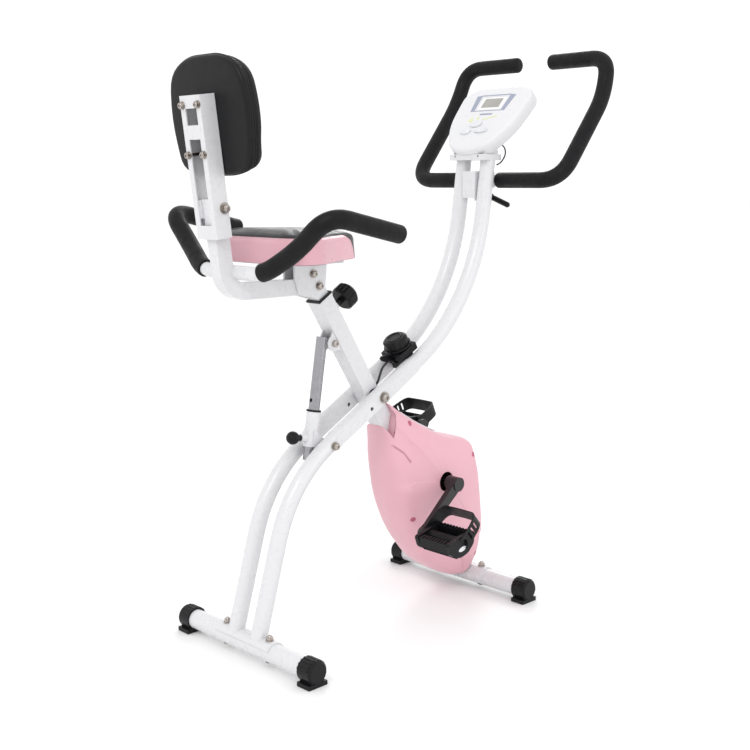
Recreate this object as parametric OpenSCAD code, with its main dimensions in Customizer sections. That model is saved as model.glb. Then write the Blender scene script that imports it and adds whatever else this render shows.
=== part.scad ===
// Folding exercise bike with a backrest. Millimetres. X runs forward, Y to the rider's left, Z up.
// Two crossing frames meet at the fold pivot: the main frame carries the seat, drive and front foot,
// and the twin-tube frame carries the handlebar, console and rear foot.

/* [Frame] */
// Outer width of the square main tube
main_w = 35; // [32:1:38]
// Lean of the main tube from vertical, degrees
main_lean = 32.1; // [31:0.1:35]
// Diameter of the twin tubes
twin_d = 32; // [30:0.5:34]
// Distance between the centres of the twin tubes
twin_gap = 67; // [66:0.5:72]
// Rise of the straight part of the twin tubes, degrees
twin_rise = 29.5; // [28:0.1:31]
// Height of the fold pivot above the floor
pivot_z = 463.7; // [455:0.1:475]
// Distance of the fold pivot ahead of the middle of the feet
pivot_x = 36.7; // [30:0.1:44]
// Wall thickness of the steel tubes
wall = 2; // [1.5:0.1:2.5]

/* [Feet] */
// Overall length of each foot across the bike
foot_len = 400; // [380:5:420]
// Diameter of the foot tubes
foot_d = 38; // [36:0.5:40]
// Distance of the front foot ahead of the middle of the feet
front_foot_x = 325; // [318:1:332]
// Distance of the rear foot behind the middle of the feet
rear_foot_x = 279; // [272:1:286]

/* [Drive] */
// Distance of the crank axle ahead of the middle of the feet
crank_x = 201; // [196:1:206]
// Height of the crank axle
crank_z = 265; // [260:1:270]
// Crank length between axle centres
crank_len = 131; // [125:1:135]
// Angle of the right crank, degrees from straight ahead
crank_turn = -140; // [-150:1:-130]
// Half width of the housing
housing_half = 70; // [66:1:74]

/* [Seat] */
// Width of the seat
seat_w = 258; // [240:2:280]
// Height of the underside of the seat
seat_z = 743; // [740:1:748]
// Width of the backrest shell
back_w = 228; // [210:2:240]
// Lean of the backrest from vertical, degrees
back_lean = 7.5; // [5:0.5:9]

/* [Controls] */
// Diameter of the handlebar tube
bar_d = 25.4; // [24:0.1:26]
// Outer diameter of the foam grips
foam_d = 33.4; // [31:0.2:36]
// Tilt of the console face from horizontal, degrees
console_tilt = 47; // [42:1:52]

/* [Hidden] */
$fn = 64;
e = 0.05;                       // small overlap that makes a cut clean
run_gap = 0.3;                  // clearance between pieces that move past each other
origin_x = 93.4;                // the part's origin sits this far ahead of the middle of the feet
foot_z = 27;                    // height of the foot tubes' centres
twin_y = twin_gap / 2;
main_half = main_w / 2;

// Unit vectors in the side view, as [x, z]
main_up = [-sin(main_lean), cos(main_lean)];
main_front = [cos(main_lean), sin(main_lean)];
twin_fwd = [cos(twin_rise), sin(twin_rise)];
twin_top = [-sin(twin_rise), cos(twin_rise)];
pivot = [pivot_x, pivot_z];

// Twin tube path, measured along the straight part from the pivot
press_w = 26;                   // width of the tubes where they are pressed flat at the pivot
press_h = 37;                   // and their height there
low_start = -160;               // where the lower bend begins
top_start = 121;                // where the upper bend begins
blend = 20;                     // length of each change from pressed to round
low_r = 270;
low_turn = 44.5;
top_r = 410;
top_turn = 53;
twin_top_z = 948;               // height of the tubes' upper ends

// Strut between the frames: its two hinge bolts are equally far from the pivot
strut_back = -27;
strut_up = 154;
strut_r = norm([strut_back, strut_up]);
strut_top = pivot + strut_up * main_up + strut_back * main_front;
strut_low = pivot - strut_r * twin_fwd;
strut_dir = (strut_top - strut_low) / norm(strut_top - strut_low);
strut_len = norm(strut_top - strut_low);
strut_lean = atan2(strut_dir[0], strut_dir[1]);
strut_set = 20;                 // the rod runs this far behind the line of its bolts
rod_d = 22;
sleeve_d = 28;
sleeve_top = 60;
pin_at = 8;                     // height of the pull pin along the sleeve

function rad(p) = [p[0], 0, p[1]];
function unit(v) = v / norm(v);
function bezier(a, b, c, n = 12) =
    [for (i = [0 : n]) let (t = i / n) (1 - t) * (1 - t) * a + 2 * t * (1 - t) * b + t * t * c];

// A polyline with its inner corners rounded: each corner becomes a curve that starts and ends
// at the given distance from it
function rounded(p, reach, n = 8) = concat(
    [p[0]],
    [for (i = [1 : len(p) - 2])
        let (a = p[i] + reach[i - 1] * unit(p[i - 1] - p[i]), c = p[i] + reach[i - 1] * unit(p[i + 1] - p[i]))
        each bezier(a, p[i], c, n)],
    [p[len(p) - 1]]);

// Frames carried along a path without twist, for sweeping a round section
function tangents(p) = [for (i = [0 : len(p) - 1])
    unit(p[min(i + 1, len(p) - 1)] - p[max(i - 1, 0)])];
function first_side(t) = unit(cross(t, abs(t[2]) < 0.9 ? [0, 0, 1] : [1, 0, 0]));
function sides_along(t, i = 0, out = []) = i == len(t) ? out :
    sides_along(t, i + 1, concat(out, [i == 0 ? first_side(t[0]) :
        let (s = out[i - 1] - (out[i - 1] * t[i]) * t[i]) unit(s)]));

function ring_points(p, r, sides) = let (t = tangents(p), u = sides_along(t))
    [for (i = [0 : len(p) - 1]) for (k = [0 : sides - 1])
        p[i] + r * (cos(360 * k / sides) * u[i] + sin(360 * k / sides) * cross(t[i], u[i]))];
function ring_walls(rings, sides, first = 0) = [for (i = [0 : rings - 2]) for (k = [0 : sides - 1])
    let (a = first + i * sides, b = a + sides, m = (k + 1) % sides) each [[a + k, b + m, a + m], [a + k, b + k, b + m]]];
// A round solid of radius r along path p
module sweep(p, r, sides) {
    last = (len(p) - 1) * sides;
    polyhedron(ring_points(p, r, sides), concat([[for (k = [0 : sides - 1]) k]],
        ring_walls(len(p), sides), [[for (k = [sides - 1 : -1 : 0]) last + k]]));
}
// The same as a pipe, open at both ends
module pipe(p, r, thick, sides) {
    first = len(p) * sides;
    last = first - sides;
    polyhedron(concat(ring_points(p, r, sides), ring_points(p, r - thick, sides)), concat(
        ring_walls(len(p), sides), [for (f = ring_walls(len(p), sides, first)) [f[2], f[1], f[0]]],
        [for (k = [0 : sides - 1]) let (m = (k + 1) % sides) each [[k, m, first + m], [k, first + m, first + k]]],
        [for (k = [0 : sides - 1]) let (m = (k + 1) % sides)
            each [[last + m, last + k, last + first + k], [last + m, last + first + k, last + first + m]]]));
}

// Places the bike, laid out from the middle of its feet, at the part's origin
module placed() translate([-origin_x, 0, 0]) children();
// Local frame of the main tube: Z up the tube, X to its front face, origin at the fold pivot
module on_main() placed() translate(rad(pivot)) rotate([0, -main_lean, 0]) children();
// Local frame of the twin tubes: X forward along them, Z out of their top, origin at the fold pivot
module on_twin() placed() translate(rad(pivot)) rotate([0, -twin_rise, 0]) children();
// Local frame of the strut: Z up along it, origin at its lower hinge
module on_strut() placed() translate(rad(strut_low)) rotate([0, strut_lean, 0]) children();
// A cylinder along Y from y0 to y1
module across(d, y0, y1) translate([0, y1, 0]) rotate([90, 0, 0]) cylinder(d = d, h = y1 - y0);
module both_sides() {
    children();
    mirror([0, 1, 0]) children();
}
// A box given by its two corners
module block(a, b) translate(a) cube(b - a);
// Round bar along an arc in the XZ plane, angles from +X towards +Z
module arc_xz(r, a0, a1) rotate([90, 0, 0]) rotate([0, 0, a0]) rotate_extrude(angle = a1 - a0)
    translate([r, 0]) children();
// A flat outline drawn in X and Z, thickened along Y
module slab_xz(y0, y1) translate([0, y1, 0]) rotate([90, 0, 0]) linear_extrude(y1 - y0) children();

// ---------- main frame ----------
main_low = -512;
main_high = 243;
post_w = 28;
crank_rel = [crank_x, crank_z] - pivot;
crank_up = crank_rel * main_up;
crank_out = crank_rel * main_front;
crank_shell_d = 40;
ear_r = 16;
ear_in = 12.5;
ear_t = 3;
pivot_bolt_d = 12;
fly_up = -370;                  // flywheel axle, measured down the main tube
fly_d = 140;
fly_axle_d = 12;
magnet_up = fly_up + 90;        // pivot of the magnet arm on the main tube
cable_slot = 10;                // width of the slot that lets the brake cable swing as the bike folds

module square_tube(w, t, z0, z1) difference() {
    block([-w / 2, -w / 2, z0], [w / 2, w / 2, z1]);
    block([-w / 2 + t, -w / 2 + t, z0 - 1], [w / 2 - t, w / 2 - t, z1 + 1]);
}

module main_tube() color("white") {
    difference() {
        on_main() union() {
            square_tube(main_w, wall, main_low, main_high);
            for (s = [-1, 1]) strut_ear(s);
            translate([main_half - e, 0, pin_up]) rotate([0, 90, 0]) cylinder(d = 20, h = 8);
            translate([0, 0, magnet_up]) across(8, main_half - e, 39.5);
        }
        on_main() block([5, -cable_slot / 2, -10], [30, cable_slot / 2, 80]);
        on_main() across(pivot_bolt_d + 8 + 2 * e, -50, 50);
        on_main() translate([crank_out, 0, crank_up]) across(crank_shell_d + 2 * e, -50, 50);
        on_main() translate([0, 0, fly_up]) across(fly_axle_d + 2 * e, -50, 50);
        on_main() translate([strut_back, 0, strut_up]) across(8 + 2 * e, -50, 50);
        on_main() translate([0, 0, pin_up]) rotate([0, 90, 0]) cylinder(d = 12.6, h = 60);
        placed() translate([front_foot_x, 0, foot_z]) across(foot_d + 6 + 2 * e, -60, 60);
    }
}
module strut_ear(side) {
    y = side > 0 ? ear_in : -ear_in - ear_t;
    difference() {
        slab_xz(y, y + ear_t) {
            translate([strut_back, strut_up]) circle(r = ear_r);
            polygon([[strut_back, strut_up + ear_r], [-main_half - e, strut_up + ear_r + 6],
                [-main_half - e, strut_up - ear_r - 6], [strut_back, strut_up - ear_r]]);
        }
        block([-main_half + 1, -60, strut_up - 60], [60, 60, strut_up + 60]);
    }
}
pin_up = 206;                   // height of the seat pin's boss along the main tube

module seat_collar() color("black") on_main() difference() {
    union() {
        block([-main_half - 1.5, -main_half - 1.5, main_high], [main_half + 1.5, main_half + 1.5, main_high + 4]);
        block([-main_half + wall + e, -main_half + wall + e, pin_up + 12],
            [main_half - wall - e, main_half - wall - e, main_high + 1]);
    }
    block([-post_w / 2 - run_gap, -post_w / 2 - run_gap, 0], [post_w / 2 + run_gap, post_w / 2 + run_gap, 300]);
}

module crank_shell() color("white") on_main() translate([crank_out, 0, crank_up]) difference() {
    across(crank_shell_d, -32, 32);
    across(34, -40, 40);
}
module crank_bearings() color("silver") on_main() translate([crank_out, 0, crank_up]) both_sides() difference() {
    union() {
        across(34 - 2 * e, 20, 32);
        across(38, 32, 34);
    }
    across(16.1, 10, 40);
}
module flywheel_axle() color("silver") on_main() translate([0, 0, fly_up]) {
    across(fly_axle_d, -32, 54);
    across(20, -24, -main_half);
    difference() {
        across(20, main_half, 22);
        across(fly_axle_d, 10, 30);
    }
}

// ---------- feet ----------
cap_len = 34;
module foot_tube(x) color("white") placed() translate([x, 0, foot_z]) difference() {
    across(foot_d, -foot_len / 2 + 4, foot_len / 2 - 4);
    across(foot_d - 2 * wall, -foot_len, foot_len);
    both_sides() translate([0, 64, 0]) cylinder(d = 8.1, h = 100, center = true);
}
// One foot cap: a fluted ring closed at its end, on a broad sole
module foot_cap(x) translate([x, foot_len / 2 - cap_len, 0]) difference() {
    union() {
        translate([0, 0, foot_z]) across(foot_d + 7, 0, cap_len - 4);
        translate([0, 0, foot_z]) translate([0, cap_len - 4, 0]) rotate([-90, 0, 0])
            cylinder(d1 = foot_d + 7, d2 = foot_d - 1, h = 4);
        for (a = [20 : 20 : 160]) translate([0, 0, foot_z]) rotate([0, -a, 0])
            block([foot_d / 2 + 2, 0, -2], [foot_d / 2 + 4.6, cap_len - 6, 2]);
        block([-22, 0, 0], [22, cap_len - 1, 8]);
        block([-15, 0, 7], [15, cap_len - 2, foot_z - 12]);
    }
    translate([0, 0, foot_z]) across(foot_d + 2 * e, -e, cap_len - 4);
}
module saddle(x, lean) placed() translate([x, 0, foot_z]) difference() {
    across(foot_d + 6, -80, 80);
    across(foot_d + 2 * e, -90, 90);
    rotate([0, lean, 0]) block([-40, -90, -40], [40, 90, 4]);
    both_sides() translate([0, 64, 0]) cylinder(d = 8.1, h = 100, center = true);
}
// Carriage bolt through a foot with a washer and a domed nut on top
module foot_bolt(x, side) placed() translate([x, side * 64, foot_z]) {
    translate([0, 0, -foot_d / 2 - 2]) cylinder(d1 = 10, d2 = 17, h = 2);
    translate([0, 0, -foot_d / 2 - e]) cylinder(d = 8, h = foot_d + 5);
    translate([0, 0, foot_d / 2 + 3 + e]) cylinder(d = 16, h = 1.6);
    translate([0, 0, foot_d / 2 + 4.6]) cylinder(d = 14, h = 5, $fn = 6);
    translate([0, 0, foot_d / 2 + 9]) sphere(d = 10);
}
module front_saddle() color("white") saddle(front_foot_x, -main_lean + 12);
module front_stabilizer() foot_tube(front_foot_x);
module front_caps() color("#222222") placed() both_sides() foot_cap(front_foot_x);
module rear_saddle() color("white") saddle(-rear_foot_x, 16);
module rear_stabilizer() foot_tube(-rear_foot_x);
module rear_caps() color("#222222") placed() both_sides() foot_cap(-rear_foot_x);
module main_frame_bolts() color("silver") {
    for (s = [-1, 1]) foot_bolt(front_foot_x, s);
    on_main() translate([strut_back, 0, strut_up]) hinge_bolt(8, ear_in + ear_t, 13);
}
// Hinge bolt along Y: shank, round head on the right, domed nut on the left
module hinge_bolt(d, half, head) {
    across(d, -half - 1, half + 1);
    across(head, -half - 5, -half - e);
    across(head, half + e, half + 6);
}

// ---------- housing and other domed shapes ----------
// A closed outline whose corners are rounded. Each corner is [x, y, reach, edge, height]:
// reach rounds it, edge is how far the dome's side leans in, height is how high that side rises
loop_steps = 4;
function loop_corner(c, i) = let (
        n = len(c),
        p = [c[i][0], c[i][1]],
        before = [c[(i + n - 1) % n][0], c[(i + n - 1) % n][1]],
        after = [c[(i + 1) % n][0], c[(i + 1) % n][1]])
    bezier(p + c[i][2] * unit(before - p), p, p + c[i][2] * unit(after - p), loop_steps);
function loop(c) = [for (i = [0 : len(c) - 1]) each loop_corner(c, i)];
function loop_value(c, k) = [for (i = [0 : len(c) - 1]) for (j = [0 : loop_steps])
    let (n = len(c), a = c[(i + n - 1) % n][k], b = c[(i + 1) % n][k], w = j / loop_steps - 0.5)
    w < 0 ? c[i][k] * (1 + w / 2) - a * w / 2 : c[i][k] * (1 - w / 2) + b * w / 2];
function inward(p, i) = let (n = len(p), d = unit(p[(i + 1) % n] - p[(i + n - 1) % n])) [-d[1], d[0]];

// A dome on a closed outline in the XY plane. The side rises like a quarter of a superellipse and
// the top swells to `top` at the middle point. `skin` shrinks the whole dome to make its inside
dome_steps = 6;
dome_rings = 3;
function dome_points(c, middle, top, skin) = let (
        p = loop(c), edge = loop_value(c, 3), high = loop_value(c, 4), n = len(p))
    concat(
        [for (j = [0 : dome_steps]) for (i = [0 : n - 1])
            let (a = 90 * j / dome_steps, q = p[i] + (skin + edge[i] * (1 - cos(a))) * inward(p, i))
            [q[0], q[1], (high[i] - skin) * sqrt(sin(a))]],
        [for (r = [1 : dome_rings - 1]) for (i = [0 : n - 1])
            let (f = 1 - r / dome_rings, q = p[i] + (skin + edge[i]) * inward(p, i), m = middle + f * (q - middle))
            [m[0], m[1], top - skin - (top - high[i]) * f * f]],
        [[middle[0], middle[1], top - skin]]);
function dome_faces(n, first) = let (layers = dome_steps + dome_rings, last = first + layers * n) concat(
    [for (j = [0 : layers - 2]) for (i = [0 : n - 1])
        let (a = first + j * n + i, b = first + j * n + (i + 1) % n) each [[a, b + n, b], [a, a + n, b + n]]],
    [for (i = [0 : n - 1]) [last - n + i, last, last - n + (i + 1) % n]]);
module dome(c, middle, top) {
    n = (loop_steps + 1) * len(c);
    polyhedron(dome_points(c, middle, top, 0), concat([[for (i = [0 : n - 1]) i]], dome_faces(n, 0)));
}
// The same dome as a shell with an open base
module domed_shell(c, middle, top, skin) {
    n = (loop_steps + 1) * len(c);
    outside = dome_points(c, middle, top, 0);
    inside = dome_points(c, middle, top, skin);
    first = len(outside);
    rim = [for (i = [0 : n - 1]) let (m = (i + 1) % n) each [[i, m, first + m], [i, first + m, first + i]]];
    polyhedron(concat(outside, inside), concat(dome_faces(n, 0), rim,
        [for (f = dome_faces(n, first)) [f[2], f[1], f[0]]]));
}
// Stands a shape drawn in the XY plane up in the side view, its height towards the left side
module side_view() rotate([90, 0, 0]) mirror([0, 0, 1]) children();

housing_corners = [
    [262, 31, 26, 20, 42], [312, 28, 22, 12, 42], [344, 92, 30, 20, 52], [343, 154, 28, 22, 60],
    [325, 270, 34, 20, 62], [303, 341, 26, 14, 56], [225, 357, 28, 14, 54], [165, 385, 28, 12, 48],
    [110, 418, 18, 7, 33], [68, 450, 14, 2, 22], [52, 418, 14, 6, 30], [61, 380, 22, 20, 40],
    [70, 300, 34, 40, 54], [86, 233, 32, 44, 58], [116, 162, 36, 42, 56], [178, 81, 36, 32, 50]];
housing_skin = 3;
shoulder_rear = -97;            // where the tube's side disappears into the housing, at its rear edge
shoulder_front = -62;           // and at its front edge
// Side view of the opening beside the main tube: its lower end slants down to the rear
module shoulder() on_main() slab_xz(-1, 90) polygon([
    [-main_half - 0.2, shoulder_rear], [main_half + 0.2, shoulder_front],
    [main_half + 0.2, 60], [-main_half - 0.2, 60]]);
module housing_half() difference() {
    placed() side_view() domed_shell(housing_corners, [crank_x, crank_z], housing_half, housing_skin);
    // way through for the main tube, open on its sides above the housing's shoulder
    on_main() block([-main_half - 0.2, -1, -700], [main_half + 0.2, main_half + 0.2, 60]);
    shoulder();
    placed() translate([front_foot_x, 0, foot_z]) across(foot_d + 12, -100, 100);
    placed() translate([crank_x, 0, crank_z]) across(42, 40, 100);
    placed() translate([front_foot_x, 64, foot_z]) cylinder(d = 22, h = 60);
}
module left_housing() color("pink") housing_half();
module right_housing() color("pink") mirror([0, 1, 0]) housing_half();
// Strip that covers the seam along the hollow top of the housing
trim_line = bezier([118, 415.2], [172, 380], [226, 359.6], 10);
trim_lift = [0.5, 0.87];
module housing_trim() color("#dddddd") placed() slab_xz(-12, 12)
    polygon(concat([for (q = trim_line) q + 1.2 * trim_lift],
        [for (i = [len(trim_line) - 1 : -1 : 0]) trim_line[i] + 3.6 * trim_lift]));

// ---------- drive ----------
pulley_r = 80;
small_r = 15;
belt_y0 = 41.5;
belt_y1 = 49.5;
axle_d = 16;
hub_y = 76;                     // inner face of the crank arms
arm_y0 = 91;
arm_y1 = 103;
spindle_d = 12;
pedal_y = 156;                  // middle of each pedal
pedal_w = 92;
module at_crank() on_main() translate([crank_out, 0, crank_up]) children();
module crank_axle() color("silver") at_crank() {
    across(axle_d, -98, 98);
    across(22, 34.2, belt_y0 - 1.2);
}
module drive_pulley() color("#333333") at_crank() difference() {
    union() {
        across(2 * pulley_r, belt_y0, belt_y1);
        across(2 * pulley_r + 4, belt_y0 - 1, belt_y0);
    }
    across(axle_d + 2 * e, 0, 60);
    for (a = [0 : 60 : 300]) rotate([0, a, 0]) translate([46, 0, 0]) across(30, 0, 60);
}
module flywheel() color("#777777") on_main() translate([0, 0, fly_up]) difference() {
    union() {
        across(fly_d, 24, 39);
        across(30, 22.3, belt_y0);
        across(2 * small_r, belt_y0 - e, belt_y1 + 1);
    }
    across(fly_axle_d + 0.1, 0, 60);
    difference() {
        across(fly_d - 30, 31, 60);
        across(40, 20, 60);
    }
}
// Flat belt over the two pulleys
belt_t = 2;
belt_run = [crank_out, crank_up - fly_up];
belt_gap = norm(belt_run);
belt_wrap = 90 + asin((pulley_r - small_r) / belt_gap);
function belt_line(extra) = concat(
    [for (a = [-belt_wrap : belt_wrap / 18 : belt_wrap + e])
        [belt_gap, 0] + (pulley_r + extra) * [cos(a), sin(a)]],
    [for (i = [0 : 8]) let (a = belt_wrap + i * (360 - 2 * belt_wrap) / 8)
        (small_r + extra) * [cos(a), sin(a)]]);
module drive_belt() color("#1a1a1a") on_main() translate([0, 0, fly_up])
    slab_xz(belt_y0 + 0.2, belt_y1 - 0.2) rotate(atan2(belt_run[1], belt_run[0])) difference() {
        polygon(belt_line(run_gap + belt_t));
        polygon(belt_line(run_gap));
    }
magnet_gap = 2;
module magnet_arm() color("#555555") on_main() difference() {
    union() {
        translate([0, 0, fly_up]) difference() {
            across(fly_d + 24, 25, 39);
            across(fly_d + 2 * magnet_gap, 20, 50);
            block([-200, 0, -200], [200, 60, 0]);
            block([0, 0, -200], [200, 60, 200]);
            rotate([0, -150, 0]) block([0, 0, 0], [200, 60, 200]);
        }
        translate([0, 0, magnet_up]) across(20, 25, 39);
    }
    translate([0, 0, magnet_up]) across(8.1, 0, 60);
    translate([0, 0, fly_up]) across(fly_d + 2 * magnet_gap, 20, 50);
}

// Crank arm on one side; `turn` is its direction in the side view
module crank_arm(turn) placed() translate([crank_x, 0, crank_z]) rotate([0, -turn, 0]) difference() {
    union() {
        across(30, hub_y, arm_y1 + 2);
        slab_xz(arm_y0, arm_y1) {
            circle(d = 28);
            translate([crank_len, 0]) circle(d = 24);
            polygon([[0, 12], [crank_len - 18, 8.5], [crank_len, 11], [crank_len, -11],
                [crank_len - 18, -8.5], [0, -12]]);
        }
        translate([crank_len, 0, 0]) across(spindle_d, arm_y0, pedal_y + pedal_w / 2 - 6);
        translate([crank_len, 0, 0]) across(18, arm_y1 - e, arm_y1 + 3);
    }
    across(axle_d + 2 * e, hub_y - 1, 98.1);
}
module left_crank() color("#111111") crank_arm(crank_turn + 180);
module right_crank() color("#111111") mirror([0, 1, 0]) crank_arm(crank_turn);

// Pedals: a block with two treads and a sleeve on the spindle
pedal_half = 39;
module pedal_body() difference() {
    union() {
        for (y = [-pedal_w / 2, pedal_w / 2 - 9]) slab_xz(y, y + 9)
            polygon(concat(rounded([[0, 16], [pedal_half, 14], [pedal_half - 4, -12], [12, -26], [1, -26]], [7, 9, 8]),
                rounded([[-1, -26], [-12, -26], [4 - pedal_half, -12], [-pedal_half, 14], [-2, 15.9]], [8, 9, 7])));
        for (s = [-1, 1]) translate([s * (pedal_half - 9), 0, 0])
            block([-6, -pedal_w / 2 + 1, -8], [6, pedal_w / 2 - 1, 12]);
        for (s = [-1, 1]) for (y = [-28 : 8 : 28]) translate([s * (pedal_half - 9), y, 11])
            block([-6, -2, 0], [6, 2, 3]);
        across(24, -pedal_w / 2 + 1, pedal_w / 2 - 1);
        slab_xz(-pedal_w / 2 + 1, pedal_w / 2 - 1) polygon([[-20, -24], [20, -24], [13, -10], [-13, -10]]);
    }
    across(spindle_d + 0.1, -pedal_w, pedal_w / 2 - 5);
}
right_tilt = 12;                // how far the front of each pedal is turned up
left_tilt = -4;
module pedal_at(turn, tilt) placed()
    translate([crank_x + crank_len * cos(turn), pedal_y, crank_z + crank_len * sin(turn)])
        rotate([0, -tilt, 0]) children();
module left_pedal() color("#111111") pedal_at(crank_turn + 180, left_tilt) pedal_body();
module right_pedal() color("#111111") mirror([0, 1, 0]) pedal_at(crank_turn, right_tilt) pedal_body();
// Toe strap: a band arched over the pedal, with three slots on its outer side
strap_w = 30;
strap_t = 2.2;
strap_high = 66;
strap_lean = 62;
function strap_arch(grow) = [for (a = [0 : 9 : 180])
    [(pedal_w / 2 + 2.6 + grow) * sign(cos(a)) * pow(abs(cos(a)), 0.2), (strap_high + grow) * pow(sin(a), 0.8)]];
module strap_body() rotate([0, strap_lean, 0]) difference() {
    translate([-strap_w / 2, 0, 0]) rotate([90, 0, 90]) linear_extrude(strap_w)
        polygon(concat(strap_arch(strap_t), [for (i = [20 : -1 : 0]) strap_arch(0)[i]]));
    across(22, -80, 80);
    for (z = [24, 36, 48]) translate([0, 0, z]) block([-9, 0, -2.5], [9, 60, 2.5]);
}
module left_strap() color("#1a1a1a") pedal_at(crank_turn + 180, left_tilt) strap_body();
module right_strap() color("#1a1a1a") mirror([0, 1, 0]) pedal_at(crank_turn, right_tilt) strap_body();

// ---------- seat ----------
post_low = 30;                  // lower end of the seat post along the main tube
post_high = 312;
seat_bolt_up = [272, 300];
l_bar_z = 694;                  // middle of the level part of the back frame
l_bar_h = 30;
l_bar_w = 26;
bend_r = 42;
back_x = -376;                  // rear face of the backrest bracket at the height below
back_z = 975;
upright_front = 38;             // the upright lies this far and less in front of that face
upright_low_z = 694;
seat_plate_z = 739;
module seat_post() color("white") on_main() difference() {
    square_tube(post_w, wall, post_low, post_high);
    for (i = [0 : 4]) translate([0, 0, pin_up - 30 * i]) rotate([0, 90, 0]) cylinder(d = 10, h = 40);
    for (z = seat_bolt_up) translate([0, 0, z]) across(8.1, -30, 30);
}
// Spring-loaded pin that locks the seat post
module seat_pin() color("black") on_main() translate([0, 0, pin_up]) rotate([0, 90, 0]) {
    translate([0, 0, post_w / 2 + run_gap]) cylinder(d = 9, h = 14);
    translate([0, 0, 26]) cylinder(d = 14, h = 17);
    translate([0, 0, 28]) cylinder(d = 9, h = 8, center = true);
    difference() {
        translate([0, 0, 42]) union() {
            cylinder(d1 = 40, d2 = 50, h = 5);
            translate([0, 0, 5]) cylinder(d = 50, h = 18);
            translate([0, 0, 23]) cylinder(d1 = 50, d2 = 40, h = 5);
        }
        for (a = [0 : 36 : 324]) rotate(a) translate([27, 0, 40]) cylinder(d = 9, h = 40);
    }
}
// On the backrest: origin on the bracket's rear face, X forward, Z up along the lean
module on_back() placed() translate([back_x, 0, back_z]) rotate([0, -back_lean, 0]) children();
upright_mid = upright_front - l_bar_h / 2;
bend_end = [back_x + upright_mid / cos(back_lean) + (back_z - upright_low_z) * tan(back_lean), upright_low_z];
back_tube_top = -116;           // upper end of the upright, along the backrest
slot_up = -136;                 // the clamping bolt's height, along the backrest
slot_run = 30;
module l_section(t) square([l_bar_h - 2 * t, l_bar_w - 2 * t], center = true);
module l_tube(t) {
    turn = 90 - back_lean;
    cut = bend_r * tan(turn / 2);
    // level part, bend, then the leaning upright
    translate([bend_end[0] + cut, 0, l_bar_z]) rotate([0, 90, 0]) linear_extrude(-118 - bend_end[0] - cut)
        l_section(t);
    translate([bend_end[0] + cut, 0, l_bar_z + bend_r]) arc_xz(bend_r, 180 + back_lean, 270) l_section(t);
    translate(rad(bend_end)) rotate([0, -back_lean, 0]) translate([0, 0, cut])
        linear_extrude((back_z + back_tube_top * cos(back_lean) - upright_low_z) / cos(back_lean) - cut) l_section(t);
}
module back_frame() color("white") difference() {
    union() {
        placed() difference() {
            l_tube(0);
            l_tube(wall);
        }
        // cheeks that hold the seat post, and the plate under the seat
        both_sides() placed() slab_xz(l_bar_w / 2 - 0.5, post_w / 2 + 3)
            polygon([[-112, 739], [-88, 739], [-92, 690], [-112, 668], [-158, 681], [-168, 709], [-168, 739]]);
        placed() block([-205, -50, seat_plate_z - 1], [-75, 50, seat_plate_z + 3.5]);
    }
    for (z = seat_bolt_up) on_main() translate([0, 0, z]) across(8.1, -30, 30);
    on_main() block([-post_w / 2 - e, -post_w / 2 - e, 200], [post_w / 2 + e, post_w / 2 + e, post_high + e]);
    on_back() for (z = [slot_up - slot_run, slot_up]) translate([upright_mid, 0, z]) across(8.4, -30, 30);
    on_back() block([upright_mid - 4.2, -30, slot_up - slot_run], [upright_mid + 4.2, 30, slot_up]);
    placed() translate([side_bar_x, 0, side_bar_z]) across(bar_d + 2 * e, -40, 40);
}
module seat_bolts() color("silver") {
    for (z = seat_bolt_up) on_main() translate([0, 0, z]) {
        across(8, -post_w / 2 - 4, post_w / 2 + 4);
        across(17, -post_w / 2 - 5, -post_w / 2 - 3 - e);
        across(17, post_w / 2 + 3 + e, post_w / 2 + 5);
        across(12, -post_w / 2 - 9, -post_w / 2 - 4);
        across(13, post_w / 2 + 4, post_w / 2 + 10);
    }
}
seat_mid = [-165, 0];
seat_corners = [
    [-255, 80, 30, 12, 50], [-240, 124, 16, 13, 50], [-196, 129, 24, 16, 48], [-118, 82, 42, 14, 46],
    [-60, 50, 20, 13, 44], [-20, 30, 22, 12, 42], [-20, -30, 22, 12, 42], [-60, -50, 20, 13, 44],
    [-118, -82, 42, 14, 46], [-196, -129, 24, 16, 48], [-240, -124, 16, 13, 50], [-255, -80, 30, 12, 50]];
function flipped(c) = [for (i = [len(c) - 1 : -1 : 0]) c[i]];
module seat_pad() color("pink") placed() translate([0, 0, seat_z + 7.5])
    dome(flipped(seat_corners), seat_mid, 52);
seat_loop = loop(flipped(seat_corners));
module seat_pan() color("#222222") placed() difference() {
    translate([0, 0, seat_z - e]) linear_extrude(7.4) polygon([for (i = [0 : len(seat_loop) - 1])
        seat_loop[i] + 3 * inward(seat_loop, i)]);
    for (x = [-190, -95]) for (y = [-35, 35]) translate([x, y, seat_z - 1]) cylinder(d = 7, h = 5);
}

// Side grips beside the seat
bar_sides = 12;
side_bar_x = -299;
side_bar_z = 729;
grip_y = 231;
side_half = rounded([[side_bar_x, 0, side_bar_z], [side_bar_x, 86, side_bar_z], [-280, 152, 770],
    [-272, grip_y - 4, 834], [-106, grip_y, 797]], [30, 34, 46], 6);
function mirrored(p) = [for (q = p) [q[0], -q[1], q[2]]];
side_path = concat(flipped(mirrored(side_half)), [for (i = [1 : len(side_half) - 1]) side_half[i]]);
module side_bar() color("white") placed() {
    pipe(side_path, bar_d / 2, wall, bar_sides);
    translate([side_bar_x, 0, side_bar_z]) both_sides() difference() {
        across(bar_d + 7, 15, 22);
        across(bar_d - 1, 10, 30);
    }
}
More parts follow.
